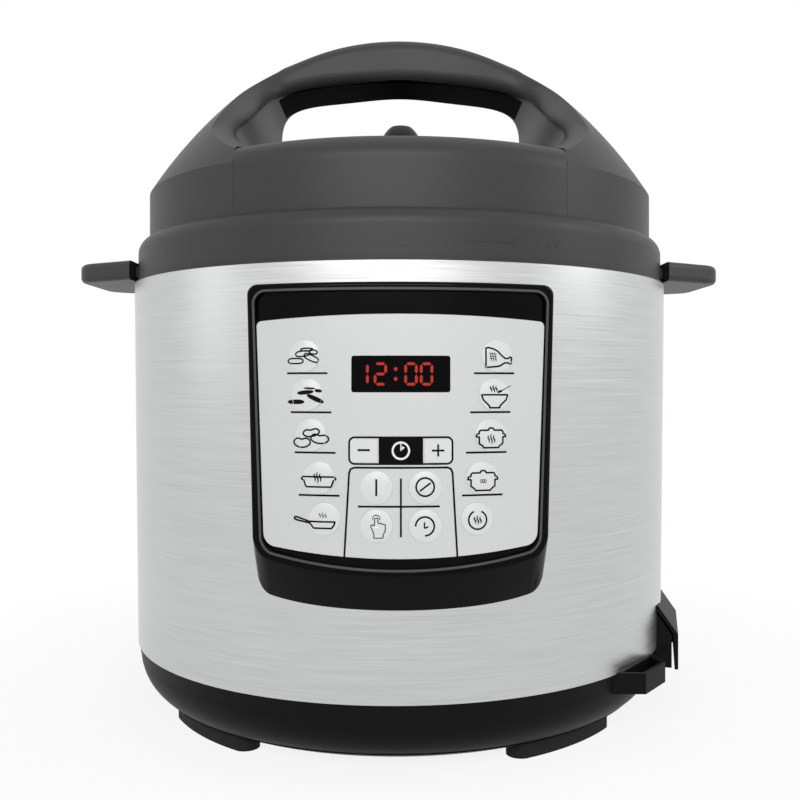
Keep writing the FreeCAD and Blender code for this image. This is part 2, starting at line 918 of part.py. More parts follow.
def round_hole(x, z, r):
    """A hole through the panel and the bezel's front wall."""
    depth = back_depth + cut_over
    return on_face(Part.makeCylinder(r, depth + cut_over, V(0, 0, -depth)), x, z)


def round_key():
    """A round key: a low dome over a cap, with a flange that keeps it behind the wall."""
    inside = panel_out - flange_in
    ball_r = (key_r**2 + key_dome**2) / (2 * key_dome)
    ball = Part.makeSphere(ball_r, V(0, 0, key_rim + key_dome - ball_r))
    stem = Part.makeCylinder(key_r, key_rim + key_dome - inside, V(0, 0, inside)).common(ball)
    flange = Part.makeCylinder(key_r + key_flange, key_flange_t, V(0, 0, inside))
    return stem.fuse(flange).removeSplitter()


def bar_block(grow, z0, z1):
    """A rectangular block with rounded corners, for the two bar keys and their holes."""
    half_w = bar_key_width / 2 + grow
    half_h = bar_key_height / 2 + grow
    block = slab(-half_w, half_w, -half_h, half_h, z0, z1)
    return block.makeFillet(bar_key_corner + max(grow, 0), edges_along(block, UP))


key_holes = []
for name, x, z in key_spots:
    key_holes.append(round_hole(x, z, key_r + slack))
    write(name, on_face(round_key(), x, z))
for name, side in (("minus", -1), ("plus", 1)):
    x = side * bar_key_x
    key_holes.append(on_face(bar_block(slack, -back_depth - cut_over, cut_over), x, bar_key_z))
    inside = panel_out - flange_in
    bar_key = bar_block(0, inside, key_rim).fuse(bar_block(key_flange, inside, inside + key_flange_t))
    write("key_" + name, on_face(bar_key.removeSplitter(), x, bar_key_z))

# Display window, set in the panel and the wall behind it
display_hole = slab(
    -display_width / 2,
    display_width / 2,
    -2 * shell_r_top,
    0,
    display_z - display_height / 2,
    display_z + display_height / 2,
)
display_hole = display_hole.makeFillet(display_corner, edges_along(display_hole, V(0, 1, 0)))
window = display_hole.common(cone_band(panel_out, back_depth))
window = window.common(slab(
    -display_width / 2 + close_fit,
    display_width / 2 - close_fit,
    -2 * shell_r_top,
    0,
    display_z - display_height / 2 + close_fit,
    display_z + display_height / 2 - close_fit,
))
write("display_window", window)

front_side = slab(-shell_r_top, shell_r_top, -2 * shell_r_top, 0, 0, chin_high)
for hole in key_holes + [display_hole]:
    hole = hole.common(front_side)
    panel = panel.cut(hole)
    bezel_body = bezel_body.cut(hole)
bezel_screws = []
for side in (-1, 1):
    for x, z in ((bezel_screw_x_high, bezel_screw_z_high), (bezel_screw_x_low, bezel_screw_z_low)):
        deg = math.degrees(math.asin(side * x / shell_r(z)))
        out = spot(deg, 1)
        head_at = spot(deg, shell_r(z) - shell_wall - slack - screw_head_t, z)
        head = Part.makeCylinder(screw_head_r, screw_head_t, head_at, out)
        shank = Part.makeCylinder(screw_r, bezel_screw_length, head_at, out)
        bezel_screws.append(head.fuse(shank).removeSplitter())
        room = Part.makeCylinder(screw_r + close_fit, bezel_screw_length + close_fit, head_at, out)
        bezel_body = bezel_body.cut(room)
        shell = shell.cut(room)
write("outer_shell", shell)
write("bezel_screws", *bezel_screws)
write("control_panel", panel)
write("control_bezel", bezel_body)

# Keypad membrane behind the keys
membrane_out = flange_in + membrane_gap
membrane = recess_outline(bezel_skin + slack).common(cone_band(membrane_out, membrane_out + membrane_t))
membrane = membrane.common(front_side)
for side in (-1, 1):
    membrane = membrane.cut(board_tab(side, slack))
membrane = membrane.cut(slab(
    -display_width / 2 - slack,
    display_width / 2 + slack,
    -2 * shell_r_top,
    0,
    display_z - display_height / 2 - slack,
    display_z + display_height / 2 + slack,
))
write("keypad_membrane", membrane)

# Control board and display module
control_board = slab(
    -control_board_half,
    control_board_half,
    control_board_y,
    control_board_y + board_t,
    control_board_z0,
    control_board_z1,
)
write("control_board", control_board)
module_front = -face_r(display_z) + back_depth + module_gap
module = slab(
    -display_width / 2 + slack,
    display_width / 2 - slack,
    module_front,
    control_board_y,
    display_z - display_height / 2 + slack,
    display_z + display_height / 2 - slack,
)
write("display_module", module)

# What the hood, the inlet block and the tray stand against
body_outside = turned(
    (0, plate_z),
    (plate_r, plate_z),
    (bowl_r_seam + close_fit, bowl_z_seam),
    ((bowl_r_mid + close_fit, bowl_z_mid), (bowl_r_wall + close_fit, bowl_z_wall)),
    (bowl_r_ledge + close_fit, shell_z_foot),
    (shell_r_foot + close_fit, shell_z_foot),
    (shell_r_top + close_fit, shell_z_top),
    (0, shell_z_top),
)
hood_meet = shell_r(hood_z_roof)
hood_pitch = (hood_z_roof - hood_z_wall) / (hood_d - hood_meet)
roof_stretch = math.sqrt(1 + hood_pitch**2)


def side_view(points, t0, t1):
    """A prism across the hood from a side view of outward distances and heights, turned to its place."""
    corners = [V(t0, -d, z) for d, z in points]
    face = Part.Face(Part.makePolygon(corners + [corners[0]]))
    block = face.extrude(V(t1 - t0, 0, 0))
    block.rotate(ORIGIN, UP, hood_deg)
    return block


def roof_z(d, depth):
    """The height of the hood's roof, or of a line this far below it, at an outward distance."""
    return hood_z_wall + (hood_d - d) * hood_pitch - depth * roof_stretch


def hood_view(d_out, depth, z_foot, z_cap):
    """The side view of the hood or of the space in it, cut level at a height."""
    d_in = hood_d - inlet_depth
    d_cap = hood_d - (z_cap + depth * roof_stretch - hood_z_wall) / hood_pitch
    return [(d_in, z_foot), (d_out, z_foot), (d_out, roof_z(d_out, depth)), (d_cap, z_cap), (d_in, z_cap)]


# Inlet hood: an outer wall and a slanted roof, open at its front end
hood_cap = hood_z_roof + hood_wall
hood = side_view(hood_view(hood_d, 0, hood_z_foot, hood_cap), -hood_half, hood_half)
hood_in = hood_view(hood_d - hood_wall, hood_wall, hood_z_foot - cut_over, hood_cap + cut_over)
hood = hood.cut(side_view(hood_in, -hood_half - cut_over, hood_half - hood_end_wall))
mouth = local_box(
    hood_deg,
    hood_d - hood_wall - slack,
    hood_d + cut_over,
    -socket_half - slack,
    socket_half + slack,
    socket_z - socket_height / 2 - slack,
    socket_z + socket_height / 2 + slack,
)
hood = hood.cut(mouth).cut(body_outside)
hood = max(hood.Solids, key=lambda solid: solid.Volume)
write("inlet_hood", hood)

# Inlet block with its socket, set through the shell and the base ring
inlet_d = hood_d - hood_wall - hood_gap
inlet_view = hood_view(inlet_d, hood_wall + hood_gap, hood_z_foot, inlet_z_top)
inlet = side_view(inlet_view, -inlet_half, inlet_half)
for side in (-1, 1):
    t_low = min(side * inlet_half, side * (inlet_half + inlet_ridge))
    ridge = local_box(
        hood_deg,
        bowl_r_ledge + inlet_ridge,
        inlet_d - inlet_ridge,
        t_low,
        t_low + inlet_ridge,
        inlet_ridge_z - inlet_ridge / 2,
        inlet_ridge_z + inlet_ridge / 2,
    )
    inlet = inlet.fuse(ridge)
socket = local_box(
    hood_deg,
    inlet_d - socket_depth,
    inlet_d + cut_over,
    -socket_half,
    socket_half,
    socket_z - socket_height / 2,
    socket_z + socket_height / 2,
)
inlet = inlet.cut(socket).removeSplitter()
write("power_inlet", inlet)
pins = []
for k in range(pin_count):
    t = (k - (pin_count - 1) / 2) * pin_pitch
    floor_d = inlet_d - socket_depth
    pins.append(local_box(
        hood_deg,
        floor_d,
        floor_d + pin_length,
        t - pin_width / 2,
        t + pin_width / 2,
        socket_z - pin_height / 2,
        socket_z + pin_height / 2,
    ))
write("inlet_pins", *pins)

# Tray beside the hood, open at the top
slant = math.radians(tray_side_deg)


def tray_plan(inset, d_root):
    """The plan of the tray, or of its pocket, at its place round the cooker."""
    half = tray_half - inset * math.tan(slant / 2)
    d_front = tray_d - inset
    root_half = half + (d_front - d_root) / math.tan(slant)
    local = [V(-root_half, -d_root, 0), V(-half, -d_front, 0), V(half, -d_front, 0), V(root_half, -d_root, 0)]
    turn = FreeCAD.Rotation(UP, tray_deg)
    return [turn.multVec(point) for point in local]


tray = prism(tray_plan(0, tray_root), tray_z_foot, tray_z_top)
tray_pocket = tray_plan(tray_wall, shell_r_foot + slack)
tray = tray.cut(prism(tray_pocket, tray_z_foot + tray_floor, tray_z_top + cut_over))
tray = tray.cut(body_outside)
tray = max(tray.Solids, key=lambda solid: solid.Volume)
write("side_tray", tray)

# Leads from the inlet block to the power board
leads = []
for side in (-1, 1):
    turn = FreeCAD.Rotation(UP, hood_deg)
    start = turn.multVec(V(side * pin_pitch, -(hood_d - inlet_depth), socket_z))
    end_y = board_y0 + relay_size / 2 + side * 2 * lead_r
    end = V(board_width / 2 - 2 * lead_r, end_y, board_top + lead_r + close_fit)
    along = end - start
    leads.append(Part.makeCylinder(lead_r, along.Length, start, along))
write("inlet_leads", *leads)

# Lid cover
lid_edge = lid_z_top - lid_z_edge
lid_flat_r = lid_r - lid_edge
bulge = lid_edge * math.sqrt(0.5)
inner_edge = lid_edge - lid_wall
inner_bulge = inner_edge * math.sqrt(0.5)
lid_in = lid_r - lid_wall
lid_under = lid_z_top - lid_wall
cover = turned(
    (lid_in, lid_z_foot),
    (lid_r, lid_z_foot),
    (lid_r, lid_z_edge),
    ((lid_flat_r + bulge, lid_z_edge + bulge), (lid_flat_r, lid_z_top)),
    (0, lid_z_top),
    (0, lid_under),
    (lid_flat_r, lid_under),
    ((lid_flat_r + inner_bulge, lid_z_edge + inner_bulge), (lid_in, lid_z_edge)),
)
crown_z = inner_lid_z_crown + inner_lid_t
for x, y in ((-post_at, 0), (post_at, 0), (0, -post_at)):
    cover = cover.fuse(Part.makeCylinder(boss_r, lid_under - crown_z, V(x, y, crown_z)))
cover = cover.removeSplitter()
leg_x = arch_inner_x[-1]
for turn in (0, 180):
    leg_gap = slab(leg_x - close_fit, 2 * lid_r, -lid_r, lid_r, leg_z_foot - slack, 2 * lid_z_top)
    leg_gap = leg_gap.cut(Part.makeCylinder(lid_flat_r, 2 * lid_z_top))
    leg_gap.rotate(ORIGIN, UP, turn)
    cover = cover.cut(leg_gap)
valve_at = V(0, valve_y, 0)
float_at = V(float_x, float_y, 0)
cover = cover.cut(Part.makeCylinder(pipe_r + slack, 2 * lid_z_top, valve_at))
cover = cover.cut(Part.makeCylinder(float_well_r, 2 * lid_z_top, float_at))
lid_spots = []
for x in (-lid_screw_x, lid_screw_x):
    for y in (-lid_screw_y, lid_screw_y):
        lid_spots.append(V(x, y, 0))
for at in lid_spots:
    cover = cover.cut(Part.makeCylinder(screw_r + close_fit, 2 * lid_z_top, at))
write("lid_cover", cover)

# Arched lid handle
stations = len(arch_half)


def arch_section(k, side, u_low, u_top, inset, corner):
    """A rounded rectangle across the arch at a station: u runs from the inner point to the outer one."""
    inner = V(side * arch_inner_x[k], 0, arch_inner_z[k])
    outer = V(side * arch_outer_x[k], 0, arch_outer_z[k])
    rise = outer - inner
    thick = rise.Length
    rise.normalize()
    across = V(0, 1, 0)
    u0 = u_low
    u1 = thick - u_top
    half = arch_half[k] - inset

    def at(u, v):
        return inner + rise * u + across * v

    c = corner
    m = corner * (1 - math.sqrt(0.5))
    edges = [
        Part.makeLine(at(u0, -half + c), at(u0, half - c)),
        Part.Arc(at(u0, half - c), at(u0 + m, half - m), at(u0 + c, half)).toShape(),
        Part.makeLine(at(u0 + c, half), at(u1 - c, half)),
        Part.Arc(at(u1 - c, half), at(u1 - m, half - m), at(u1, half - c)).toShape(),
        Part.makeLine(at(u1, half - c), at(u1, -half + c)),
        Part.Arc(at(u1, -half + c), at(u1 - m, -half + m), at(u1 - c, -half)).toShape(),
        Part.makeLine(at(u1 - c, -half), at(u0 + c, -half)),
        Part.Arc(at(u0 + c, -half), at(u0 + m, -half + m), at(u0, -half + c)).toShape(),
    ]
    return Part.Wire(edges)


def arch(u_low, u_top, inset, corner):
    """The whole arch from leg to leg, with the legs carried straight down from the last stations."""
    order = [(k, -1) for k in range(stations - 1, 0, -1)] + [(k, 1) for k in range(stations)]
    wires = [arch_section(k, side, u_low, u_top, inset, corner) for k, side in order]
    body = Part.makeLoft(wires, True, False)
    for wire in (wires[0], wires[-1]):
        leg = Part.Face(wire).extrude(V(0, 0, leg_z_foot - arch_inner_z[-1]))
        body = body.fuse(leg)
    return body


def dome(inset):
    """The turned outside that trims the legs, made smaller by an inset."""
    return turned(
        (0, leg_z_foot),
        (lid_r - inset, leg_z_foot),
        (lid_r - inset, dome_z_edge),
        ((dome_r_low - inset, dome_z_low - inset), (dome_r_waist - inset, dome_z_waist - inset)),
        ((dome_r_mid - inset, dome_z_mid - inset), (dome_r_high - inset, dome_z_high - inset)),
        (dome_r_flat, dome_z_flat - inset),
        (0, dome_z_axis - inset),
    )


handle_wall = lid_wall
seat_gap = close_fit
lid_inside = turned(
    (0, 0),
    (lid_in, 0),
    (lid_in, lid_z_edge),
    ((lid_flat_r + inner_bulge, lid_z_edge + inner_bulge), (lid_flat_r, lid_under)),
    (lid_flat_r + close_fit, lid_under),
    (lid_flat_r + close_fit, lid_z_top + seat_gap),
    (0, lid_z_top + seat_gap),
)
handle_full = arch(0, 0, 0, arch_corner).common(dome(0))
cavity = arch(grip_t, handle_wall, handle_wall, arch_corner - handle_wall).common(dome(handle_wall))
handle = handle_full.cut(cavity)
for at in lid_spots:
    boss = Part.makeCylinder(boss_r, dome_z_axis - lid_z_top, at + V(0, 0, lid_z_top))
    handle = handle.fuse(boss.common(handle_full))
handle = handle.cut(lid_inside)
handle = handle.cut(slab(-leg_x, leg_x, -2 * lid_r, 2 * lid_r, 0, lid_z_top + seat_gap))
for at in lid_spots:
    handle = handle.cut(Part.makeCylinder(screw_r, lid_screw_length, at + V(0, 0, lid_under - screw_head_t)))


def grip_block(grow):
    """The strip under the middle of the arch, made larger all round."""
    half_x = grip_half_x + grow
    left = V(-half_x, 0, grip_end_z + grip_t + grow)
    right = V(half_x, 0, grip_end_z + grip_t + grow)
    edges = [
        Part.Arc(left, V(0, 0, arch_inner_z[0] + grip_t + grow), right).toShape(),
        Part.makeLine(right, V(half_x, 0, lid_z_top)),
        Part.makeLine(V(half_x, 0, lid_z_top), V(-half_x, 0, lid_z_top)),
        Part.makeLine(V(-half_x, 0, lid_z_top), left),
    ]
    face = Part.Face(Part.Wire(edges))
    half_y = arch_half[0] - grip_inset + grow
    face.translate(V(0, -half_y, 0))
    return face.extrude(V(0, 2 * half_y, 0))


handle = handle.cut(grip_block(close_fit))
handle = max(handle.Solids, key=lambda solid: solid.Volume)
write("lid_handle", handle)
write("handle_grip", handle_full.common(grip_block(0)))

# Lid screws from inside the cover into the legs
lid_screws = []
for at in lid_spots:
    head_at = at + V(0, 0, lid_under - screw_head_t)
    head = Part.makeCylinder(screw_head_r, screw_head_t, head_at)
    shank = Part.makeCylinder(screw_r, lid_screw_length, head_at)
    lid_screws.append(head.fuse(shank).removeSplitter())
write("lid_screws", *lid_screws)

# Inner lid
skirt_out = inner_lid_skirt_r + inner_lid_t
flange_z = inner_lid_z_flange + inner_lid_t
inner_lid = turned(
    (inner_lid_skirt_r, inner_lid_z_foot),
    (skirt_out, inner_lid_z_foot),
    (skirt_out, flange_z),
    (inner_lid_r_step, flange_z),
    (inner_lid_r_crown, crown_z),
    (0, crown_z),
    (0, inner_lid_z_crown),
    (inner_lid_r_crown - inner_lid_t, inner_lid_z_crown),
    (inner_lid_r_step - inner_lid_t, inner_lid_z_flange),
    (inner_lid_skirt_r, inner_lid_z_flange),
)
for k in range(lug_count):
    lug = sector(
        k * 360 / lug_count,
        lug_deg,
        inner_lug_r,
        skirt_out,
        inner_lid_z_foot,
        inner_lid_z_foot + inner_lug_t,
    )
    inner_lid = inner_lid.fuse(lug)
inner_lid = inner_lid.removeSplitter()
inner_lid = inner_lid.cut(Part.makeCylinder(pipe_r + close_fit, 2 * crown_z, valve_at))
inner_lid = inner_lid.cut(Part.makeCylinder(float_r + float_fit, 2 * crown_z, float_at))
write("inner_lid", inner_lid)

# Sealing ring and its rack
seal_z_top = inner_lid_z_flange - slack
seal_groove = seal_r_out - seal_web
seal = turned(
    (seal_r_in, seal_z_foot),
    (seal_r_out, seal_z_foot),
    (seal_r_out, seal_z_top),
    (seal_r_in, seal_z_top),
    (seal_r_in, seal_z_top - seal_lip),
    (seal_groove, seal_z_top - seal_lip),
    (seal_groove, seal_z_foot + seal_lip),
    (seal_r_in, seal_z_foot + seal_lip),
)
write("sealing_ring", seal)
write("seal_rack", tube(rack_r, rack_r + rack_t, rack_z_foot, rack_z_top))

# Steam pipe with its nut and the shield over its lower end
pipe = turned(
    (pipe_bore_r, pipe_z_foot),
    (pipe_r, pipe_z_foot),
    (pipe_r, inner_lid_z_crown - pipe_flange_t),
    (pipe_flange_r, inner_lid_z_crown - pipe_flange_t),
    (pipe_flange_r, inner_lid_z_crown),
    (pipe_r, inner_lid_z_crown),
    (pipe_r, pipe_z_top),
    (pipe_bore_r, pipe_z_top),
)
pipe.translate(valve_at)
write("steam_pipe", pipe)
hex_r = nut_across / math.sqrt(3)
hex_plan = [spot(k * 60, hex_r) for k in range(6)]
nut = prism(hex_plan, crown_z, crown_z + nut_t)
nut = nut.cut(Part.makeCylinder(pipe_r + close_fit, 2 * crown_z))
nut.translate(valve_at)
write("steam_pipe_nut", nut)
shield_foot = inner_lid_z_crown - shield_height
shield = turned(
    (0, shield_foot),
    (shield_r, shield_foot),
    (shield_r, inner_lid_z_crown),
    (shield_r - shield_wall, inner_lid_z_crown),
    (shield_r - shield_wall, shield_foot + shield_wall),
    (0, shield_foot + shield_wall),
)
for k in range(shield_hole_count):
    hole_at = V(0, 0, shield_foot + shield_height / 2)
    outward = spot(k * 360 / shield_hole_count, 1)
    shield = shield.cut(Part.makeCylinder(shield_hole_r, shield_r, hole_at, outward))
shield.translate(valve_at)
write("vent_shield", shield)

# Steam valve knob, turning on the pipe
bore_r = pipe_r + knob_fit
knob = turned(
    (bore_r, knob_z_foot),
    (knob_r, knob_z_foot),
    (knob_shoulder_r, knob_shoulder_z),
    ((knob_crown_r, knob_crown_z), (knob_r_top, knob_z_top)),
    (0, knob_z_top),
    (0, pipe_z_top + slack),
    (bore_r, pipe_z_top + slack),
)
tab = slab(
    knob_shoulder_r,
    knob_r + knob_tab_length,
    -knob_tab_width / 2,
    knob_tab_width / 2,
    knob_z_foot,
    knob_z_foot + knob_tab_t,
)
knob = knob.fuse(tab).removeSplitter()
knob.translate(valve_at)
write("steam_valve_knob", knob)

# Float valve pin and its silicone cap
float_stop_z = crown_z + slack
float_pin = turned(
    (0, float_z_foot + cap_t),
    (float_r, float_z_foot + cap_t),
    (float_r, float_stop_z),
    (float_head_r, float_stop_z),
    (float_head_r, float_stop_z + float_head_t),
    (float_r, float_stop_z + float_head_t),
    (float_r, float_z_top),
    (0, float_z_top),
)
float_pin.translate(float_at)
write("float_valve_pin", float_pin)
cap = Part.makeCylinder(cap_r, cap_t, float_at + V(0, 0, float_z_foot))
write("float_valve_cap", cap)
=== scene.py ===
"""Looks of an electric pressure cooker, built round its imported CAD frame."""

import json
import logging
import math
from dataclasses import dataclass, field
from enum import Enum
from typing import Callable, Optional, Sequence

import bpy
import numpy as np
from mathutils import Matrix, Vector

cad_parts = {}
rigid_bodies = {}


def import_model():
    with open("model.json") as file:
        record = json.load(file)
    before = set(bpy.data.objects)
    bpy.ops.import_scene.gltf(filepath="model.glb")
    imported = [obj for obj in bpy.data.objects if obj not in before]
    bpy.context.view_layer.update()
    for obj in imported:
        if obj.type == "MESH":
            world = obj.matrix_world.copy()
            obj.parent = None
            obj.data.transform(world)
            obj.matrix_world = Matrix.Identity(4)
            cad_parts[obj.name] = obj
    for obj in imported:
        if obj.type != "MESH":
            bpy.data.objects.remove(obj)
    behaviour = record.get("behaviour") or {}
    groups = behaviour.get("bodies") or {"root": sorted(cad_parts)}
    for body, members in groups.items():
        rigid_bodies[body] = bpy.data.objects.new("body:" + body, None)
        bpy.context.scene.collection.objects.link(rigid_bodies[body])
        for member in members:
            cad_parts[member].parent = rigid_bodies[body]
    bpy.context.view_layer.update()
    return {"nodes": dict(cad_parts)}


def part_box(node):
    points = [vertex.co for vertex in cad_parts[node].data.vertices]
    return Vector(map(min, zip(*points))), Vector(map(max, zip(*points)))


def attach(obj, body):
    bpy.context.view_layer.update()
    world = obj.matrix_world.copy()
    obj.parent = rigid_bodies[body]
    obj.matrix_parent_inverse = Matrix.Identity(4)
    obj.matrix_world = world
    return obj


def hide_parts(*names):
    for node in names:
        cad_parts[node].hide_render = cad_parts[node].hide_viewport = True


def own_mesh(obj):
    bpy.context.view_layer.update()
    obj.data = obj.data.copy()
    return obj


LOG = logging.getLogger("pressure_cooker")
MM = 0.001
IMAGE_SIZE = 800
SENSOR = 36.0

for leftover in list(bpy.data.objects):
    bpy.data.objects.remove(leftover)
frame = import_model()


def linear(colour: str) -> tuple[float, float, float, float]:
    """Turn an sRGB hex colour into linear light.

    Args:
        colour: six hex digits after a hash.

    Returns:
        Red, green, blue and alpha for a colour socket.
    """
    share = np.array([int(colour[k : k + 2], 16) for k in (1, 3, 5)]) / 255
    light = np.where(share <= 0.04045, share / 12.92, ((share + 0.055) / 1.055) ** 2.4)
    return (*(float(c) for c in light), 1.0)


def add_node(
    tree: bpy.types.NodeTree,
    kind: str,
    settings: Optional[dict] = None,
    links: Optional[dict] = None,
) -> bpy.types.Node:
    """Add a node with its settings and links.

    Args:
        tree: the material's or world's tree.
        kind: Blender's name of the node.
        settings: attributes of the node, or values of its input sockets.
        links: output sockets by the input they feed.

    Returns:
        The new node.
    """
    made = tree.nodes.new(kind)
    for key, value in (settings or {}).items():
        if isinstance(key, str) and hasattr(made, key):
            setattr(made, key, value)
        else:
            made.inputs[key].default_value = value
    for key, socket in (links or {}).items():
        tree.links.new(socket, made.inputs[key])
    return made


class Pattern(Enum):
    """What the making of a surface leaves on it."""

    PLAIN = "plain"
    BRUSHED = "brushed"
    SPUN = "spun"
    GRAINED = "grained"
    POLISHED = "polished"
    SPECKLED = "speckled"
    CAST = "cast"


@dataclass(frozen=True)
class Finish:
    """A real material and how its surface was made.

    The pattern's grain is a length in millimetres; stretch is how many times longer it is along the brushing.
    """

    name: str
    colour: str
    roughness: float
    pattern: Pattern = Pattern.PLAIN
    metallic: float = 0.0
    specular: float = 0.5
    grain: float = 1.0
    stretch: float = 1.0
    contrast: float = 0.0
    relief: float = 0.0
    rough_spread: float = 0.0
    coat: float = 0.0
    glow: float = 0.0
    anisotropy: float = 0.0

    def material(self) -> bpy.types.Material:
        """The Blender material of this finish, made once."""
        made = bpy.data.materials.get(self.name)
        if made is None:
            made = bpy.data.materials.new(self.name)
            made.use_nodes = True
            self._fill(made.node_tree)
        return made

    def _fill(self, tree: bpy.types.NodeTree) -> None:
        """Lay the shader and its pattern into an empty tree."""
        tree.nodes.clear()
        shader = add_node(
            tree,
            "ShaderNodeBsdfPrincipled",
            {
                "Base Color": linear(self.colour),
                "Roughness": self.roughness,
                "Metallic": self.metallic,
                "Specular IOR Level": self.specular,
                "Coat Weight": self.coat,
                "Coat Roughness": 0.08,
                "Anisotropic": self.anisotropy,
                "Emission Color": linear(self.colour),
                "Emission Strength": self.glow,
            },
        )
        add_node(tree, "ShaderNodeOutputMaterial", {}, {"Surface": shader.outputs["BSDF"]})
        if self.anisotropy:
            around = add_node(tree, "ShaderNodeTangent", {"direction_type": "RADIAL", "axis": "Z"})
            tree.links.new(around.outputs["Tangent"], shader.inputs["Tangent"])
        if self.pattern is not Pattern.PLAIN:
            self._lay_pattern(tree, shader)

    def _lay_pattern(self, tree: bpy.types.NodeTree, shader: bpy.types.Node) -> None:
        """Vary colour, roughness and relief with a noise at the grain's real size."""
        fine = 1 / (self.grain * MM)
        wide = fine / self.stretch
        place = add_node(tree, "ShaderNodeTexCoord")
        scaled = add_node(
            tree,
            "ShaderNodeMapping",
            {"vector_type": "POINT", "Scale": (wide, wide, fine)},
            {"Vector": place.outputs["Object"]},
        )
        noise = add_node(
            tree,
            "ShaderNodeTexNoise",
            {"Scale": 1.0, "Detail": 3.0, "Roughness": 0.6},
            {"Vector": scaled.outputs["Vector"]},
        )
        value = noise.outputs["Fac"]
        if self.contrast:
            base = np.array(linear(self.colour)[:3])
            ramp = add_node(tree, "ShaderNodeValToRGB", {}, {"Fac": value})
            ramp.color_ramp.elements[0].position = 0.25
            ramp.color_ramp.elements[1].position = 0.75
            ramp.color_ramp.elements[0].color = (*(base * (1 - self.contrast)), 1.0)
            ramp.color_ramp.elements[1].color = (*np.minimum(base * (1 + self.contrast), 1.0), 1.0)
            tree.links.new(ramp.outputs["Color"], shader.inputs["Base Color"])
        if self.rough_spread:
            span = add_node(
                tree,
                "ShaderNodeMapRange",
                {
                    "From Min": 0.25,
                    "From Max": 0.75,
                    "To Min": self.roughness - self.rough_spread,
                    "To Max": self.roughness + self.rough_spread,
                },
                {"Value": value},
            )
            tree.links.new(span.outputs["Result"], shader.inputs["Roughness"])
        if self.relief:
            bump = add_node(
                tree,
                "ShaderNodeBump",
                {"Strength": 1.0, "Distance": self.relief * MM},
                {"Height": value},
            )
            tree.links.new(bump.outputs["Normal"], shader.inputs["Normal"])


# Drawn round the axis with an abrasive belt: long level hairlines, drawn wider than life so that they show.
SHELL_STEEL = Finish(
    "brushed_stainless_steel", "#C2C4C3", 0.33, Pattern.BRUSHED, metallic=1.0,
    grain=0.55, stretch=70.0, contrast=0.09, rough_spread=0.07, relief=0.004, anisotropy=0.35,
)
# Pressed and spun: rings of faint tool marks over a satin shine.
POT_STEEL = Finish(
    "spun_stainless_steel", "#B9B9B7", 0.27, Pattern.SPUN, metallic=1.0,
    grain=0.8, stretch=60.0, contrast=0.06, rough_spread=0.05, relief=0.004, anisotropy=0.3,
)
# Moulded polypropylene with a fine eroded texture: dark grey, no sharp reflections.
LID_PLASTIC = Finish(
    "satin_black_polypropylene", "#343434", 0.46, Pattern.GRAINED, specular=0.22,
    grain=0.5, contrast=0.05, rough_spread=0.05, relief=0.012,
)
# The same moulding as the lid, painted a deeper black: painted shade on the lower parts of the cooker.
BASE_PLASTIC_PAINTED_SHADE = Finish(
    "black_polypropylene", "#101011", 0.45, Pattern.GRAINED, specular=0.06,
    grain=0.5, contrast=0.06, rough_spread=0.05, relief=0.012,
)
# Polished ABS: nearly black, with clear reflections of the lamps.
BEZEL_GLOSS = Finish(
    "gloss_black_abs", "#060607", 0.16, Pattern.POLISHED, specular=0.06,
    grain=14.0, rough_spread=0.03,
)
# Soft-touch insert under the arch: its own dark colour, taken down to near black as painted shade under the arch.
GRIP_BLACK_AND_PAINTED_SHADE = Finish(
    "soft_touch_elastomer_and_painted_shade", "#030303", 0.75, Pattern.GRAINED, specular=0.03,
    grain=0.6, rough_spread=0.05, relief=0.02,
)
# Screen-printed polyester overlay on a silver ground: a fine metallic speckle.
PANEL_SILVER = Finish(
    "silver_printed_polyester", "#C6C8C7", 0.42, Pattern.SPECKLED, specular=0.35,
    grain=0.5, contrast=0.025, rough_spread=0.04,
)
# The overlay's embossed domes: the plate's silver painted a shade lighter, a painted highlight where the domes catch
# the light.
KEY_SILVER_PAINTED_LIT = Finish(
    "embossed_silver_polyester_painted_lit", "#CFD1D0", 0.3, Pattern.SPECKLED, specular=0.5,
    grain=0.5, contrast=0.02, rough_spread=0.04,
)
# Smoked acrylic over the display.
WINDOW_DARK = Finish(
    "smoked_acrylic", "#040404", 0.12, Pattern.POLISHED, specular=0.05, grain=12.0, rough_spread=0.02,
)
MODULE_BLACK = Finish(
    "black_epoxy", "#161616", 0.35, Pattern.GRAINED, grain=0.8, rough_spread=0.05, relief=0.01,
)
# Solder mask over glass fibre: green with a faint weave-like mottle.
BOARD_GREEN = Finish(
    "circuit_board_laminate", "#1F6B3D", 0.4, Pattern.SPECKLED, grain=0.9, contrast=0.12, rough_spread=0.06,
)
FOOT_RUBBER = Finish(
    "moulded_rubber", "#1B1B1B", 0.7, Pattern.GRAINED, specular=0.15,
    grain=0.7, rough_spread=0.06, relief=0.03,
)
# Food silicone: pale, slightly waxy.
SEAL_SILICONE = Finish(
    "food_silicone", "#D9D8D2", 0.45, Pattern.GRAINED, grain=1.2, contrast=0.03, rough_spread=0.06, relief=0.02,
)
MEMBRANE_GREY = Finish(
    "keypad_silicone", "#6F7073", 0.6, Pattern.GRAINED, grain=0.9, contrast=0.04, rough_spread=0.05, relief=0.02,
)
# Sand-cast, then wiped: a grey pebble.
CAST_ALUMINIUM = Finish(
    "cast_aluminium", "#BDBDBE", 0.42, Pattern.CAST, metallic=1.0,
    grain=1.1, contrast=0.08, rough_spread=0.1, relief=0.03,
)
PRESSED_ALUMINIUM = Finish(
    "pressed_aluminium", "#B4B4B6", 0.36, Pattern.SPUN, metallic=1.0,
    grain=0.9, stretch=40.0, contrast=0.06, rough_spread=0.08, relief=0.006,
)
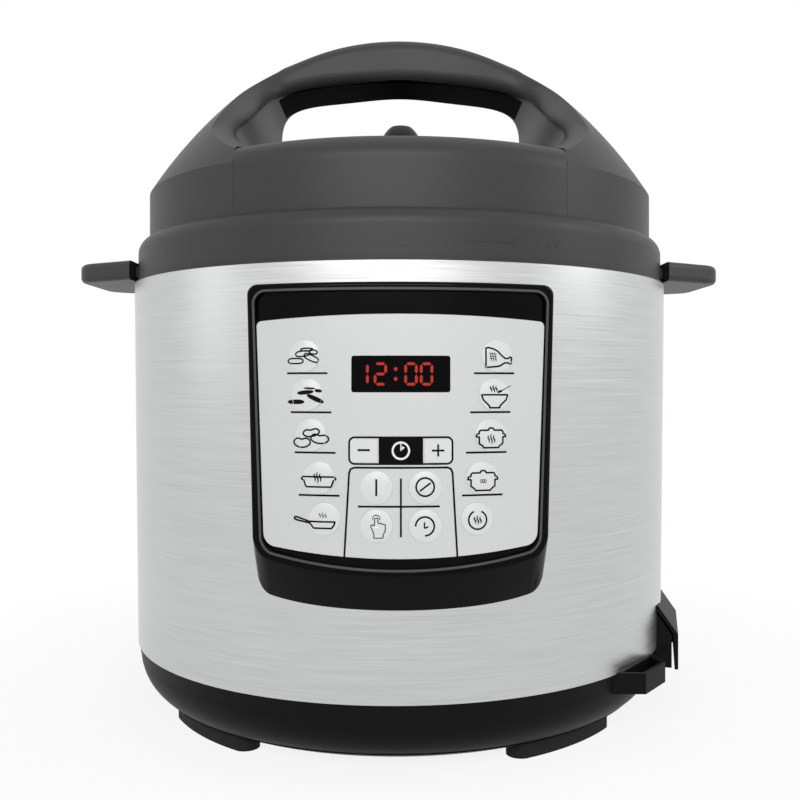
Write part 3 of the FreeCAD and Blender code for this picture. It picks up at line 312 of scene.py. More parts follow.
# Bright zinc passivation: bluish grey with a slight cloud.
ZINC_PLATE = Finish(
    "zinc_plated_steel", "#C4C7CA", 0.28, Pattern.CAST, metallic=1.0, grain=1.5, contrast=0.06, rough_spread=0.08,
)
BRASS = Finish(
    "drawn_brass", "#D9B56A", 0.28, Pattern.CAST, metallic=1.0, grain=1.2, contrast=0.08, rough_spread=0.07,
)
LEAD_RED = Finish(
    "glass_fibre_sleeved_lead", "#A8322C", 0.6, Pattern.GRAINED, grain=0.6, contrast=0.12, relief=0.05,
)
SWITCH_WHITE = Finish(
    "white_phenolic", "#DAD9D3", 0.45, Pattern.GRAINED, grain=0.9, contrast=0.04, rough_spread=0.06, relief=0.01,
)
FLOAT_STEEL = Finish(
    "polished_stainless_steel", "#C6C6C6", 0.16, Pattern.POLISHED, metallic=1.0, grain=6.0, rough_spread=0.04,
)
# Screen ink: flat black with a slight edge.
INK_BLACK = Finish(
    "black_screen_ink", "#060607", 0.55, Pattern.GRAINED, specular=0.07, grain=0.4, contrast=0.05, rough_spread=0.05,
)
BLOCK_BLACK = Finish(
    "gloss_screen_ink", "#030303", 0.35, Pattern.POLISHED, specular=0.05, grain=5.0, rough_spread=0.04,
)
INK_WHITE = Finish(
    "white_screen_ink", "#DDDEDD", 0.55, Pattern.GRAINED, specular=0.2, grain=0.4, contrast=0.03, rough_spread=0.05,
)
# Moulded marks: the lid's plastic with the texture polished off.
MARK_PLASTIC = Finish(
    "polished_black_polypropylene", "#3A3A3A", 0.35, Pattern.POLISHED, specular=0.2, grain=3.0, rough_spread=0.05,
)
# The bevel inside the bezel's rim: a painted highlight, a grey line standing for the lamps' light on the bevel.
RIM_HIGHLIGHT_PAINT = Finish(
    "painted_rim_highlight", "#4A4A4B", 0.4, Pattern.GRAINED, specular=0.15, grain=0.5, contrast=0.05, rough_spread=0.05,
)
# Lit segments behind the smoked window.
SEGMENT_RED = Finish(
    "red_led_segment", "#A62A24", 0.4, Pattern.SPECKLED, specular=0.1, grain=0.3, contrast=0.12, glow=0.1,
)


def dress(finish: Finish, *names: str) -> None:
    """Give CAD nodes a finish.

    Args:
        finish: the finish.
        names: the nodes that take it.
    """
    for name in names:
        mesh = frame["nodes"][name].data
        mesh.materials.clear()
        mesh.materials.append(finish.material())
        LOG.info("%s is dressed in %s", name, finish.name)


def make_piece(
    name: str,
    points: np.ndarray,
    faces: Sequence[Sequence[int]],
    finish: Finish,
    body: str,
    smooth: bool = False,
) -> bpy.types.Object:
    """Turn points and faces into a piece that rides on a body.

    Args:
        name: the piece's name.
        points: rows of x, y, z in metres.
        faces: rows of point numbers, outwards.
        finish: its finish.
        body: the CAD body that carries it.
        smooth: whether the faces are shaded as one surface.

    Returns:
        The object.
    """
    mesh = bpy.data.meshes.new(name)
    mesh.from_pydata(points.tolist(), [], [[int(k) for k in face] for face in faces])
    mesh.materials.append(finish.material())
    mesh.polygons.foreach_set("use_smooth", np.full(len(mesh.polygons), smooth))
    mesh.update()
    piece = bpy.data.objects.new(name, mesh)
    bpy.context.scene.collection.objects.link(piece)
    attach(piece, body)
    LOG.info("%s rides on %s", name, body)
    return piece


Place = Callable[[np.ndarray, np.ndarray, float], np.ndarray]


@dataclass
class Stroke:
    """A printed line: a path in millimetres and its width, which may change along it."""

    path: np.ndarray
    width: np.ndarray
    closed: bool = False

    def finer(self, share: int) -> "Stroke":
        """The same line with each step cut into equal shares, and the closing step of a closed one laid out."""
        ends = [0] if self.closed else []
        path, width = np.vstack([self.path, self.path[ends]]), np.append(self.width, self.width[ends])
        at = np.arange(len(path))
        t = np.linspace(0, at[-1], at[-1] * share + 1)
        return Stroke(np.stack([np.interp(t, at, path[:, k]) for k in (0, 1)], 1), np.interp(t, at, width))

    def cut(self, keep: np.ndarray) -> list["Stroke"]:
        """The stretches of the line where keep is true, as strokes of their own."""
        if keep.all():
            return [self]
        edges = np.flatnonzero(np.diff(np.concatenate([[0], keep.astype(int), [0]])))
        spans = edges.reshape(-1, 2)
        return [Stroke(self.path[a:b], self.width[a:b]) for a, b in spans if b - a > 1]


def lay_strokes(
    strokes: Sequence[Stroke], place: Place, low: float, high: float
) -> tuple[np.ndarray, np.ndarray]:
    """Carry a flat rectangle along each stroke, on a surface.

    Each section has four corners: half the width to either side of the path, at the low and the high height.
    Quads join each section to the next, and an open stroke gets a quad at either end.

    Args:
        strokes: the lines.
        place: maps across, up and height to points in metres.
        low: height of the underside over the surface, in millimetres.
        high: height of the top over the surface, in millimetres.

    Returns:
        Points and faces.
    """
    points, faces, start = [], [], 0
    for stroke in strokes:
        path, count = stroke.path, len(stroke.path)
        if stroke.closed:
            ahead, behind = np.roll(path, -1, 0), np.roll(path, 1, 0)
            run = ahead - behind
        else:
            run = np.gradient(path, axis=0)
        run = run / np.maximum(np.linalg.norm(run, axis=1, keepdims=True), 1e-9)
        side = np.stack([-run[:, 1], run[:, 0]], 1) * stroke.width[:, None] / 2
        left, right = path + side, path - side
        rails = [
            place(right[:, 0], right[:, 1], low),
            place(right[:, 0], right[:, 1], high),
            place(left[:, 0], left[:, 1], high),
            place(left[:, 0], left[:, 1], low),
        ]
        points.append(np.stack(rails, 1).reshape(-1, 3))
        k = np.arange(count if stroke.closed else count - 1)[:, None]
        corner = np.arange(4)[None, :]
        after, turn = (k + 1) % count, (corner + 1) % 4
        quads = np.stack(
            [4 * k + corner, 4 * after + corner, 4 * after + turn, 4 * k + turn], 2
        ).reshape(-1, 4)
        faces.append(quads + start)
        if not stroke.closed:
            last = 4 * (count - 1)
            ends = np.array([[0, 1, 2, 3], [last + 3, last + 2, last + 1, last]])
            faces.append(ends + start)
        start += 4 * count
    return np.concatenate(points), np.concatenate(faces)


STEP = 0.22


def line(*corners: tuple[float, float], width: float = 0.62, closed: bool = False) -> Stroke:
    """A line through corners, cut into short steps.

    Args:
        corners: points across and up, in millimetres.
        width: the line's width.
        closed: whether it runs back to its start.

    Returns:
        The stroke.
    """
    at = np.array(corners, float)
    if closed:
        at = np.vstack([at, at[:1]])
    along = np.concatenate([[0], np.cumsum(np.linalg.norm(np.diff(at, axis=0), axis=1))])
    count = max(4, int(along[-1] / STEP))
    t = np.linspace(0, along[-1], count + 1)
    path = np.stack([np.interp(t, along, at[:, 0]), np.interp(t, along, at[:, 1])], 1)
    if closed:
        path = path[:-1]
    return Stroke(path, np.full(len(path), width), closed)


def arc(
    middle: tuple[float, float],
    radii: tuple[float, float],
    turn: tuple[float, float] = (0.0, 360.0),
    tilt: float = 0.0,
    width: float = 0.62,
) -> Stroke:
    """A part of an ellipse: radius times cosine and sine of the angle, then tilted.

    Args:
        middle: the ellipse's centre.
        radii: its half-axes.
        turn: first and last angle in degrees.
        tilt: how far it leans, in degrees.
        width: the line's width.

    Returns:
        The stroke, closed if it goes all the way round.
    """
    closed = abs(turn[1] - turn[0]) >= 360
    span = math.radians(abs(turn[1] - turn[0])) * max(radii)
    angle = np.radians(np.linspace(*turn, max(10, int(span / STEP)) + 1))
    if closed:
        angle = angle[:-1]
    return Stroke(
        tilted(np.stack([radii[0] * np.cos(angle), radii[1] * np.sin(angle)], 1), tilt) + np.array(middle),
        np.full(len(angle), width),
        closed,
    )


def tilted(path: np.ndarray, tilt: float) -> np.ndarray:
    """Turn a path about its origin by degrees."""
    c, s = math.cos(math.radians(tilt)), math.sin(math.radians(tilt))
    return path @ np.array([[c, s], [-s, c]])


def grain(
    middle: tuple[float, float], half: float, thick: float, tilt: float = 0.0, filled: bool = False
) -> Stroke:
    """A grain of rice: a superellipse outline, or a filled stroke whose width follows it.

    The outline is cosine and sine of the angle, each raised to a power below one, times the half sizes.

    Args:
        middle: the grain's centre.
        half: half its length.
        thick: half its thickness.
        tilt: how far it leans, in degrees.
        filled: whether it is solid.

    Returns:
        The stroke.
    """
    if filled:
        t = np.linspace(-1, 1, int(2 * half / STEP) + 3)
        path = tilted(np.stack([half * t, 0 * t], 1), tilt) + np.array(middle)
        return Stroke(path, 2 * thick * np.maximum(1 - np.abs(t) ** 3, 0.04) ** 0.5)
    angle = np.linspace(0, 2 * np.pi, int(4 * half / STEP))[:-1]
    c, s = np.cos(angle), np.sin(angle)
    path = np.stack([half * np.sign(c) * np.abs(c) ** 0.7, thick * np.sign(s) * np.abs(s) ** 0.8], 1)
    return Stroke(tilted(path, tilt) + np.array(middle), np.full(len(path), 0.55), True)


def bean(middle: tuple[float, float], half: float, thick: float, tilt: float = 0.0) -> Stroke:
    """A bean: an ellipse whose upper side dips by a bell curve about its middle."""
    angle = np.linspace(0, 2 * np.pi, int(6 * half / STEP))[:-1]
    x, y = half * np.cos(angle), thick * np.sin(angle)
    y = y - np.where(y > 0, 0.42 * thick * np.exp(-((x / (0.42 * half)) ** 2)), 0.0)
    path = tilted(np.stack([x, y], 1), tilt) + np.array(middle)
    return Stroke(path, np.full(len(path), 0.6), True)


def steam(x: float, low: float, high: float, sway: float = 0.28, width: float = 0.58) -> list[Stroke]:
    """Three wisps: upright lines that sway by one sine wave, the middle one taller."""
    made = []
    for k in (-1, 0, 1):
        rise = (high - low) * (0.0 if k == 0 else 0.14)
        t = np.linspace(0, 1, max(8, int((high - low) / STEP)) + 1)
        path = np.stack([x + 1.05 * k + sway * np.sin(2 * np.pi * t), low + rise + t * (high - low - 2 * rise)], 1)
        made.append(Stroke(path, width * (0.45 + 0.55 * np.sin(np.pi * t))))
    return made


def filled_box(x0: float, x1: float, z0: float, z1: float) -> Stroke:
    """A solid rectangle: a level stroke as wide as the box is high."""
    t = np.linspace(x0, x1, max(4, int((x1 - x0) / 0.8)) + 1)
    return Stroke(np.stack([t, np.full_like(t, (z0 + z1) / 2)], 1), np.full_like(t, z1 - z0))


def disc(middle: tuple[float, float], r: float) -> Stroke:
    """A solid disc: a level stroke whose width is the chord of the circle."""
    t = np.sin(np.linspace(-np.pi / 2, np.pi / 2, 15)) * 0.995
    path = np.stack([middle[0] + r * t, np.full_like(t, middle[1])], 1)
    return Stroke(path, 2 * r * np.sqrt(1 - t**2))


def rounded(
    x0: float, x1: float, z0: float, z1: float, r: float, taper: float = 0.0, width: float = 0.45
) -> Stroke:
    """A rounded rectangle whose foot is wider than its top by the taper on either side."""
    corners = [(x1 - r, z1 - r, 0), (x0 + r, z1 - r, 90), (x0 + r, z0 + r, 180), (x1 - r, z0 + r, 270)]
    turn = np.radians(np.linspace(0, 90, 9))
    rings = [
        np.stack([x + r * np.cos(turn + math.radians(a)), z + r * np.sin(turn + math.radians(a))], 1)
        for x, z, a in corners
    ]
    at = np.concatenate(rings)
    middle = (x0 + x1) / 2
    at[:, 0] = middle + (at[:, 0] - middle) * (1 + taper * (z1 - at[:, 1]) / (z1 - z0) / ((x1 - x0) / 2))
    return line(*map(tuple, at), width=width, closed=True)


class Icon(Enum):
    """The pictogram on each key."""

    RICE = "rice"
    WILD_RICE = "wild_rice"
    BEANS = "beans"
    STEAM = "steam"
    SAUTE = "saute"
    MEAT = "meat"
    SOUP = "soup"
    STEW = "stew"
    SLOW_COOK = "slow_cook"
    KEEP_WARM = "keep_warm"
    START = "start"
    CANCEL = "cancel"
    MANUAL = "manual"
    DELAY = "delay"
    MINUS = "minus"
    PLUS = "plus"


GRAINS = ((-3.2, -1.9, 3.1, 0.95, 0), (-0.3, 0.8, 2.8, 1.0, 6), (3.0, -0.8, 2.9, 1.0, -24), (1.2, 2.3, 2.3, 0.5, 2),
          (3.7, 1.4, 1.5, 0.75, -8))
WILD_GRAINS = ((-4.1, -2.6, 3.4, 0.85, 0), (-0.4, 0.9, 3.2, 0.75, 6), (3.4, -1.4, 3.4, 0.85, -24),
               (1.2, 2.4, 2.2, 0.35, -2), (4.6, 1.5, 1.4, 0.6, -6))


def cooking_pot(bubbles: bool) -> list[Stroke]:
    """A lidded pot in outline, with steam or with small bubbles in it."""
    half = [
        (0.0, -4.7), (2.9, -4.7), (3.2, -4.1), (4.6, -3.1), (4.6, -0.7), (5.9, -0.7), (5.4, 0.3), (4.6, 0.5),
        (4.6, 1.3), (4.0, 1.75), (1.1, 1.75), (1.0, 2.2), (0.55, 2.55), (0.0, 2.55),
    ]
    outline = half + [(-x, z) for x, z in reversed(half[1:-1])]
    body = [line(*outline, closed=True)]
    if bubbles:
        return body + [arc((x, -1.3), (0.35, 0.6), width=0.25) for x in (-0.7, 0.0, 0.7)]
    return body + steam(0.0, -3.4, 0.4, width=0.5)


def key_icon(icon: Icon) -> list[Stroke]:
    """The strokes of one pictogram, about its key's centre.

    Args:
        icon: which pictogram.

    Returns:
        Its strokes.
    """
    if icon is Icon.RICE:
        return [grain((x, z), half, thick, tilt) for x, z, half, thick, tilt in GRAINS]
    if icon is Icon.WILD_RICE:
        return [grain((x, z), half, thick, tilt, True) for x, z, half, thick, tilt in WILD_GRAINS]
    if icon is Icon.BEANS:
        return [bean((-3.2, -2.6), 3.3, 1.9), bean((3.6, -1.2), 3.3, 1.8, -6), bean((0.4, 1.0), 3.1, 1.5, 8)]
    if icon is Icon.STEAM:
        dish = [
            (-6.2, 0.4), (6.0, 0.4), (6.5, -0.5), (5.65, -0.9), (4.8, -3.3),
            (-4.8, -3.3), (-5.65, -0.9), (-6.7, -0.5),
        ]
        return [line(*dish, closed=True)] + steam(-0.3, -1.9, 2.1)
    if icon is Icon.SAUTE:
        pan = [(-5.8, -0.9), (4.2, -0.9), (3.9, -1.9), (2.9, -3.3), (-3.9, -3.3), (-5.0, -2.0)]
        handle = [(-5.8, -0.9), (-10.6, 0.6), (-11.4, 0.5), (-11.4, -0.1), (-10.8, -0.5), (-5.2, -1.6)]
        return [line(*pan, closed=True), line(*handle)] + steam(-0.4, 0.3, 2.5, width=0.32)
    if icon is Icon.MEAT:
        leg = [
            (-4.6, 3.0), (-3.4, 3.1), (-1.6, 2.6), (0.0, 1.7), (1.4, 0.2), (2.9, -0.9), (4.3, -0.9), (5.0, -0.3),
            (5.7, -0.7), (5.4, -1.7), (5.7, -2.7), (4.9, -3.0), (4.3, -2.5), (2.7, -2.6), (0.6, -3.8), (-2.2, -4.1),
            (-4.6, -4.2),
        ]
        hatch = [line((-3.1 + k, 1.3), (-2.5 + k, -2.0), width=0.24) for k in (0.0, 0.9, 1.8)]
        cross = [line((-3.2, 0.9 - k), (-0.5, 0.6 - k), width=0.24) for k in (0.0, 0.9, 1.8)]
        return [line(*leg, closed=True)] + hatch + cross
    if icon is Icon.SOUP:
        bowl = [
            (-5.2, 0.0), (5.1, 0.0), (4.4, -1.9), (2.6, -3.5), (1.9, -4.3), (1.9, -4.8),
            (-2.1, -4.8), (-2.1, -4.3), (-2.8, -3.5), (-4.5, -1.9),
        ]
        spoon = [line((2.6, 1.5), (6.5, 3.4), width=0.28), grain((1.9, 1.2), 1.1, 0.4, 18, True)]
        return [line(*bowl, closed=True)] + spoon + steam(-0.5, 0.9, 3.5)
    if icon is Icon.STEW:
        return cooking_pot(False)
    if icon is Icon.SLOW_COOK:
        return cooking_pot(True)
    if icon is Icon.KEEP_WARM:
        return [arc((0.0, -0.4), (3.4, 3.4), (115, 425), width=0.62)] + steam(0.0, -2.0, 1.2)
    if icon is Icon.START:
        return [line((0.0, -3.0), (0.0, 3.1), width=0.75)]
    if icon is Icon.CANCEL:
        return [arc((-0.1, 0.2), (3.3, 3.3), width=0.65), line((-2.1, -1.3), (1.9, 1.7), width=0.65)]
    if icon is Icon.MANUAL:
        hand = [
            (-0.5, -4.3), (2.9, -4.3), (3.0, -2.9), (3.7, -1.6), (3.7, 0.6), (2.4, 0.9), (1.0, 1.2), (1.0, 2.9),
            (-0.2, 2.9), (-0.2, 0.2), (-1.4, 0.5), (-1.6, -0.2), (-0.9, -1.6), (-0.4, -3.0),
        ]
        return [line(*[(x - 0.4, z) for x, z in hand], closed=True, width=0.34),
                arc((0.0, 2.7), (1.3, 1.3), (-20, 200), width=0.3)]
    if icon is Icon.DELAY:
        return [arc((-0.2, -0.1), (3.4, 3.4), (180, -90), width=0.65),
                line((-0.4, 1.4), (-0.4, -0.8), (1.0, -0.2), width=0.55)]
    if icon is Icon.MINUS:
        return [line((-2.2, 0.2), (2.3, 0.2), width=0.75)]
    return [line((-2.3, 0.0), (2.3, 0.0), width=0.7), line((0.0, -2.2), (0.0, 2.3), width=0.7)]


@dataclass(frozen=True)
class FaceCone:
    """The front of the control plate: a cone about the cooker's axis that leans out towards its foot."""

    z_top: float = 189.4
    r_top: float = 135.2
    z_foot: float = 84.6
    r_foot: float = 139.6

    def radius(self, z: np.ndarray) -> np.ndarray:
        """The cone's radius at a height: a straight line between its two ends."""
        return self.r_foot + (z - self.z_foot) / (self.z_top - self.z_foot) * (self.r_top - self.r_foot)

    def place(self, x: np.ndarray, z: np.ndarray, out: float) -> np.ndarray:
        """Points on the cone: the angle is the arc sine of x over the radius, and out is added to the radius.

        Args:
            x: across, in millimetres.
            z: height, in millimetres.
            out: height over the plate.

        Returns:
            Rows of x, y, z in metres.
        """
        r = self.radius(z)
        angle = np.arcsin(x / r)
        return np.stack([(r + out) * np.sin(angle), -(r + out) * np.cos(angle), z + 0 * x], 1) * MM

    @property
    def lean(self) -> float:
        """The cone's slope, as an angle."""
        return math.atan((self.r_foot - self.r_top) / (self.z_top - self.z_foot))


@dataclass(frozen=True)
class Key:
    """One key: where its cap sits on the cone, and the shape of the cap.

    Prints on the cap stop short of its edge by the margin, and prints on the plate start past it by the gap.
    """

    icon: Icon
    x: float
    z: float
    face: FaceCone
    round: bool = True
    r: float = 6.0
    rim: float = 0.2
    dome: float = 0.6
    bar: tuple[float, float, float] = (9.8, 8.4, 1.2)
    margin: float = 0.01
    gap: float = 0.03
    edge_shares: int = 10

    def place(self, u: np.ndarray, v: np.ndarray, out: float) -> np.ndarray:
        """Points over the cap: across and up in its tangent plane, raised by the dome's spherical height.

        A point past a round cap's edge is drawn back to the edge, so no print hangs over the gap.

        Args:
            u: across from the key's centre, in millimetres.
            v: up the plate from the key's centre.
            out: height over the cap.

        Returns:
            Rows of x, y, z in metres.
        """
        if self.round:
            pull = np.minimum(1.0, self.r / np.maximum(np.hypot(u, v), 1e-9))
            u, v = u * pull, v * pull
        r = float(self.face.radius(np.array(self.z)))
        a, lean = math.asin(self.x / r), self.face.lean
        middle = np.array([r * math.sin(a), -r * math.cos(a), self.z])
        across = np.array([math.cos(a), math.sin(a), 0.0])
        normal = np.array([math.sin(a) * math.cos(lean), -math.cos(a) * math.cos(lean), math.sin(lean)])
        up = np.cross(normal, across)
        height = np.full_like(u, self.rim)
        if self.round:
            ball = (self.r**2 + self.dome**2) / (2 * self.dome)
            height = self.rim + self.dome - ball + np.sqrt(ball**2 - u**2 - v**2)
        lift = (height + out)[:, None] * normal
        return (middle + u[:, None] * across + v[:, None] * up + lift) * MM

    @property
    def body(self) -> str:
        """The CAD body and node of this key."""
        return "key_" + self.icon.value

    def split(self) -> tuple[list[Stroke], list[Stroke]]:
        """The icon's strokes on the cap, and those that run on over the plate in the plate's own coordinates."""
        on_cap, on_plate = [], []
        for stroke in key_icon(self.icon):
            reach = np.linalg.norm(stroke.path, axis=1)
            if reach.min() < self.r < reach.max():
                stroke = stroke.finer(self.edge_shares)
                reach = np.linalg.norm(stroke.path, axis=1)
            on_cap += stroke.cut(reach < self.r - self.margin)
            on_plate += [self.on_cone(run) for run in stroke.cut(reach > self.r + self.gap)]
        return on_cap, on_plate

    def on_cone(self, stroke: Stroke) -> Stroke:
        """A stroke moved from the key's centre to the plate, narrowed across by the cosine of the key's angle."""
        turn = math.asin(self.x / float(self.face.radius(np.array(self.z))))
        path = stroke.path * np.array([math.cos(turn), 1.0]) + np.array([self.x, self.z])
        return Stroke(path, stroke.width, stroke.closed)

    def film(self, width: float) -> Stroke:
        """The ring of overlay film that closes the gap round the cap."""
        out = width / 2 + self.gap
        if self.round:
            return self.on_cone(arc((0.0, 0.0), (self.r + out, self.r + out), width=width))
        half_x, half_z = self.bar[0] / 2 + out, self.bar[1] / 2 + out
        return self.on_cone(rounded(-half_x, half_x, -half_z, half_z, self.bar[2] + out, width=width))


@dataclass
class ControlFace:
    """The bezel, the silver plate with its prints, the display and the keys."""

    face: FaceCone = field(default_factory=FaceCone)
    column_x: tuple[float, ...] = (35.8, 34.7, 33.2, 30.1, 28.0)
    column_z: tuple[float, ...] = (162.0, 147.6, 132.8, 117.2, 102.2)
    middle_x: float = 8.9
    middle_z: tuple[float, float] = (113.9, 100.0)
    bar_x: float = 13.6
    bar_z: float = 127.3
    film: float = 0.07
    bed: float = -0.06
    block_half: float = 8.1
    bar_half: float = 18.9
    bar_rise: float = 4.85
    display_z: float = 155.3
    line_width: float = 0.7
    ring_width: float = 0.62
    ring_bed: float = -0.02
    bevel_heights: tuple[float, float] = (0.1, 0.33)

    def keys(self) -> list[Key]:
        """All sixteen keys in their places."""
        left = (Icon.RICE, Icon.WILD_RICE, Icon.BEANS, Icon.STEAM, Icon.SAUTE)
        right = (Icon.MEAT, Icon.SOUP, Icon.STEW, Icon.SLOW_COOK, Icon.KEEP_WARM)
        made = [Key(icon, -x, z, self.face) for icon, x, z in zip(left, self.column_x, self.column_z)]
        made += [Key(icon, x, z, self.face) for icon, x, z in zip(right, self.column_x, self.column_z)]
        for row, z in zip(((Icon.START, Icon.CANCEL), (Icon.MANUAL, Icon.DELAY)), self.middle_z):
            made += [Key(icon, side * self.middle_x, z, self.face) for icon, side in zip(row, (-1, 1))]
        bars = ((Icon.MINUS, -1), (Icon.PLUS, 1))
        return made + [Key(icon, side * self.bar_x, self.bar_z, self.face, round=False) for icon, side in bars]

    def dress(self) -> None:
        """Dress the CAD nodes of the face."""
        dress(BEZEL_GLOSS, "control_bezel")
        dress(PANEL_SILVER, "control_panel")
        # The keys take the lighter silver: a painted highlight on the domes.
        dress(KEY_SILVER_PAINTED_LIT, *[key.body for key in self.keys()])
        dress(WINDOW_DARK, "display_window")
        dress(MODULE_BLACK, "display_module")
        dress(BOARD_GREEN, "control_board")
        dress(MEMBRANE_GREY, "keypad_membrane")
        dress(ZINC_PLATE, "bezel_screws")

    def build(self) -> None:
        """Print the icons, the frames round the keys, the clock block and the lit digits, and lay the film round the
        keys and the painted highlight inside the bezel's rim.
        """
        plate = self.frames()
        for key in self.keys():
            on_cap, on_plate = key.split()
            plate += on_plate
            points, faces = lay_strokes(on_cap, key.place, self.bed, self.film)
            make_piece("print_" + key.icon.value, points, faces, INK_BLACK, key.body)
        points, faces = lay_strokes(plate, self.face.place, self.bed, self.film)
        make_piece("plate_print", points, faces, INK_BLACK, "base")
        rings = [key.film(self.ring_width) for key in self.keys()]
        points, faces = lay_strokes(rings, self.face.place, self.ring_bed, 0.5 * self.film)
        make_piece("key_film", points, faces, PANEL_SILVER, "base")
        # Painted highlight: a grey strip inside the bezel's rim, where the bevel catches the light.
        points, faces = lay_strokes([self.bevel()], self.face.place, *self.bevel_heights)
        make_piece("painted_rim_highlight_strip", points, faces, RIM_HIGHLIGHT_PAINT, "base")
        low, high = self.bar_z - self.bar_rise, self.bar_z + self.bar_rise
        block = [filled_box(-self.block_half, self.block_half, low, high)]
        points, faces = lay_strokes(block, self.face.place, self.bed, self.film)
        make_piece("clock_block", points, faces, BLOCK_BLACK, "base")
        points, faces = lay_strokes(self.clock(), self.face.place, self.bed, 2 * self.film)
        make_piece("clock_print", points, faces, INK_WHITE, "base")
        points, faces = lay_strokes(self.digits(), self.face.place, self.bed, self.film)
        make_piece("display_digits", points, faces, SEGMENT_RED, "base")

    def frames(self) -> list[Stroke]:
        """The lines under the side keys and round the middle ones."""
        made, wide = [], self.line_width
        lines = ((-42.3, -27.0, 155.6), (-40.8, -25.5, 141.2), (-39.2, -23.9, 126.4), (-37.6, -22.4, 110.8))
        for x0, x1, z in lines:
            made += [line((x0, z), (x1, z), width=wide), line((-x0, z), (-x1, z), width=wide)]
        low, high = self.bar_z - self.bar_rise, self.bar_z + self.bar_rise
        made.append(rounded(-self.bar_half, self.bar_half, low, high, 2.0, width=wide))
        pen = [
            (-20.6, 88.7), (-18.9, 119.2), (-18.3, 120.6), (-17.0, 121.1),
            (17.0, 121.1), (18.3, 120.6), (18.9, 119.2), (20.6, 88.7),
        ]
        made.append(line(*pen, width=wide))
        made.append(line((0.0, 96.0), (0.0, 117.2), width=wide))
        made += [line((-15.6, 107.0), (-0.35, 107.0), width=wide), line((0.35, 107.0), (14.2, 107.0), width=wide)]
        return made

    def bevel(self) -> Stroke:
        """The painted highlight inside the bezel's rim: a tapered rounded frame whose foot bows down by a parabola.
        """
        half, foot, sag = 56.0, 52.1, 6.0
        low, high, corner, bowed_below = 89.8, 186.8, 5.0, 120.0
        frame_line = rounded(-half, half, low, high, corner, taper=foot - half, width=0.9)
        x, z = frame_line.path.T
        dip = np.where(z < bowed_below, sag * np.maximum(1 - (x / foot) ** 2, 0.0), 0.0)
        return Stroke(np.stack([x, z - dip], 1), frame_line.width, True)

    def clock(self) -> list[Stroke]:
        """A clock's ring and its two hands."""
        z = self.bar_z
        wedge = Stroke(np.array([[0.1, z + 0.1], [0.55, z + 0.75], [1.0, z + 1.4]]), np.array([0.1, 0.6, 1.1]))
        return [arc((0.0, z), (3.0, 3.0), width=0.75), line((0.0, z), (0.0, z + 2.5), width=0.4), wedge]

    def digits(self) -> list[Stroke]:
        """Seven-segment digits: each segment is a short stroke whose width tapers at both ends."""
        lit = {"1": "bc", "2": "abged", "0": "abcdef"}
        places = (("1", -14.2), ("2", -7.5), ("0", 3.7), ("0", 9.4))
        half_w, half_h, thick, gap = 1.95, 3.75, 1.05, 0.3
        ends = {
            "a": ((-1, 1), (1, 1)), "b": ((1, 1), (1, 0)), "c": ((1, 0), (1, -1)), "d": ((-1, -1), (1, -1)),
            "e": ((-1, 0), (-1, -1)), "f": ((-1, 1), (-1, 0)), "g": ((-1, 0), (1, 0)),
        }
        t = np.linspace(0, 1, 11)
        made = []
        for digit, x in places:
            for name in lit[digit]:
                a, b = (np.array([x + half_w * p, self.display_z + half_h * q]) for p, q in ends[name])
                length = np.linalg.norm(b - a)
                a, b = a + (b - a) * gap / length, b - (b - a) * gap / length
                taper = np.minimum(np.minimum(t, 1 - t) * 2 * np.linalg.norm(b - a) / thick, 1.0)
                made.append(Stroke(a + t[:, None] * (b - a), thick * np.maximum(taper, 0.12)))
        return made + [disc((-1.9, self.display_z + side * 1.8), 0.7) for side in (-1, 1)]


@dataclass
class CookerBody:
    """The steel shell, the plastic rings round it, the handles, the feet and the parts at the cord inlet."""

    collar_r: float = 128.3
    mark_z: float = 206.0
    closed_x: float = -0.3
    open_x: float = 62.0

    def dress(self) -> None:
        """Dress the CAD nodes of the body."""
        dress(SHELL_STEEL, "outer_shell")
        dress(LID_PLASTIC, "upper_ring", "side_handle_left", "side_handle_right")
        # The base parts take the deeper black: painted shade.
        dress(BASE_PLASTIC_PAINTED_SHADE, "base_ring", "bottom_plate", "inlet_hood", "power_inlet", "side_tray")
        dress(FOOT_RUBBER, "feet")
        dress(ZINC_PLATE, "bottom_screws")
        dress(BRASS, "inlet_pins")

    def place(self, run: np.ndarray, z: np.ndarray, out: float) -> np.ndarray:
        """Points on the collar's upright wall: the arc length over the radius is the angle."""
        turn, r = run / self.collar_r, self.collar_r + out
        return np.stack([r * np.sin(turn), -r * np.cos(turn), z + 0 * run], 1) * MM

    def padlock(self, x: float, z: float, opened: bool) -> list[Stroke]:
        """A padlock's case and shackle; an open one has its shackle swung to the side."""
        shift = 2.2 if opened else 0.0
        shackle = arc((x + shift, z + 0.6), (1.2, 1.5), (0, 180), width=0.4)
        return [rounded(x - 1.9, x + 1.9, z - 2.2, z + 0.6, 0.5, width=0.4), shackle]

    def build(self) -> None:
        """Mould the closed and open marks on the collar, with an arrow between them."""
        x, z = self.closed_x, self.mark_z
        marks = self.padlock(x, z, False) + self.padlock(self.open_x, z, True)
        marks.append(line((24.0, z), (46.0, z), width=0.5))
        marks.append(line((43.6, 207.4), (46.2, z), (43.6, 204.6), width=0.4))
        marks.append(line((x, 210.2), (x, 212.2), width=0.5))
        points, faces = lay_strokes(marks, self.place, -0.1, 0.12)
        make_piece("collar_marks", points, faces, MARK_PLASTIC, "base")


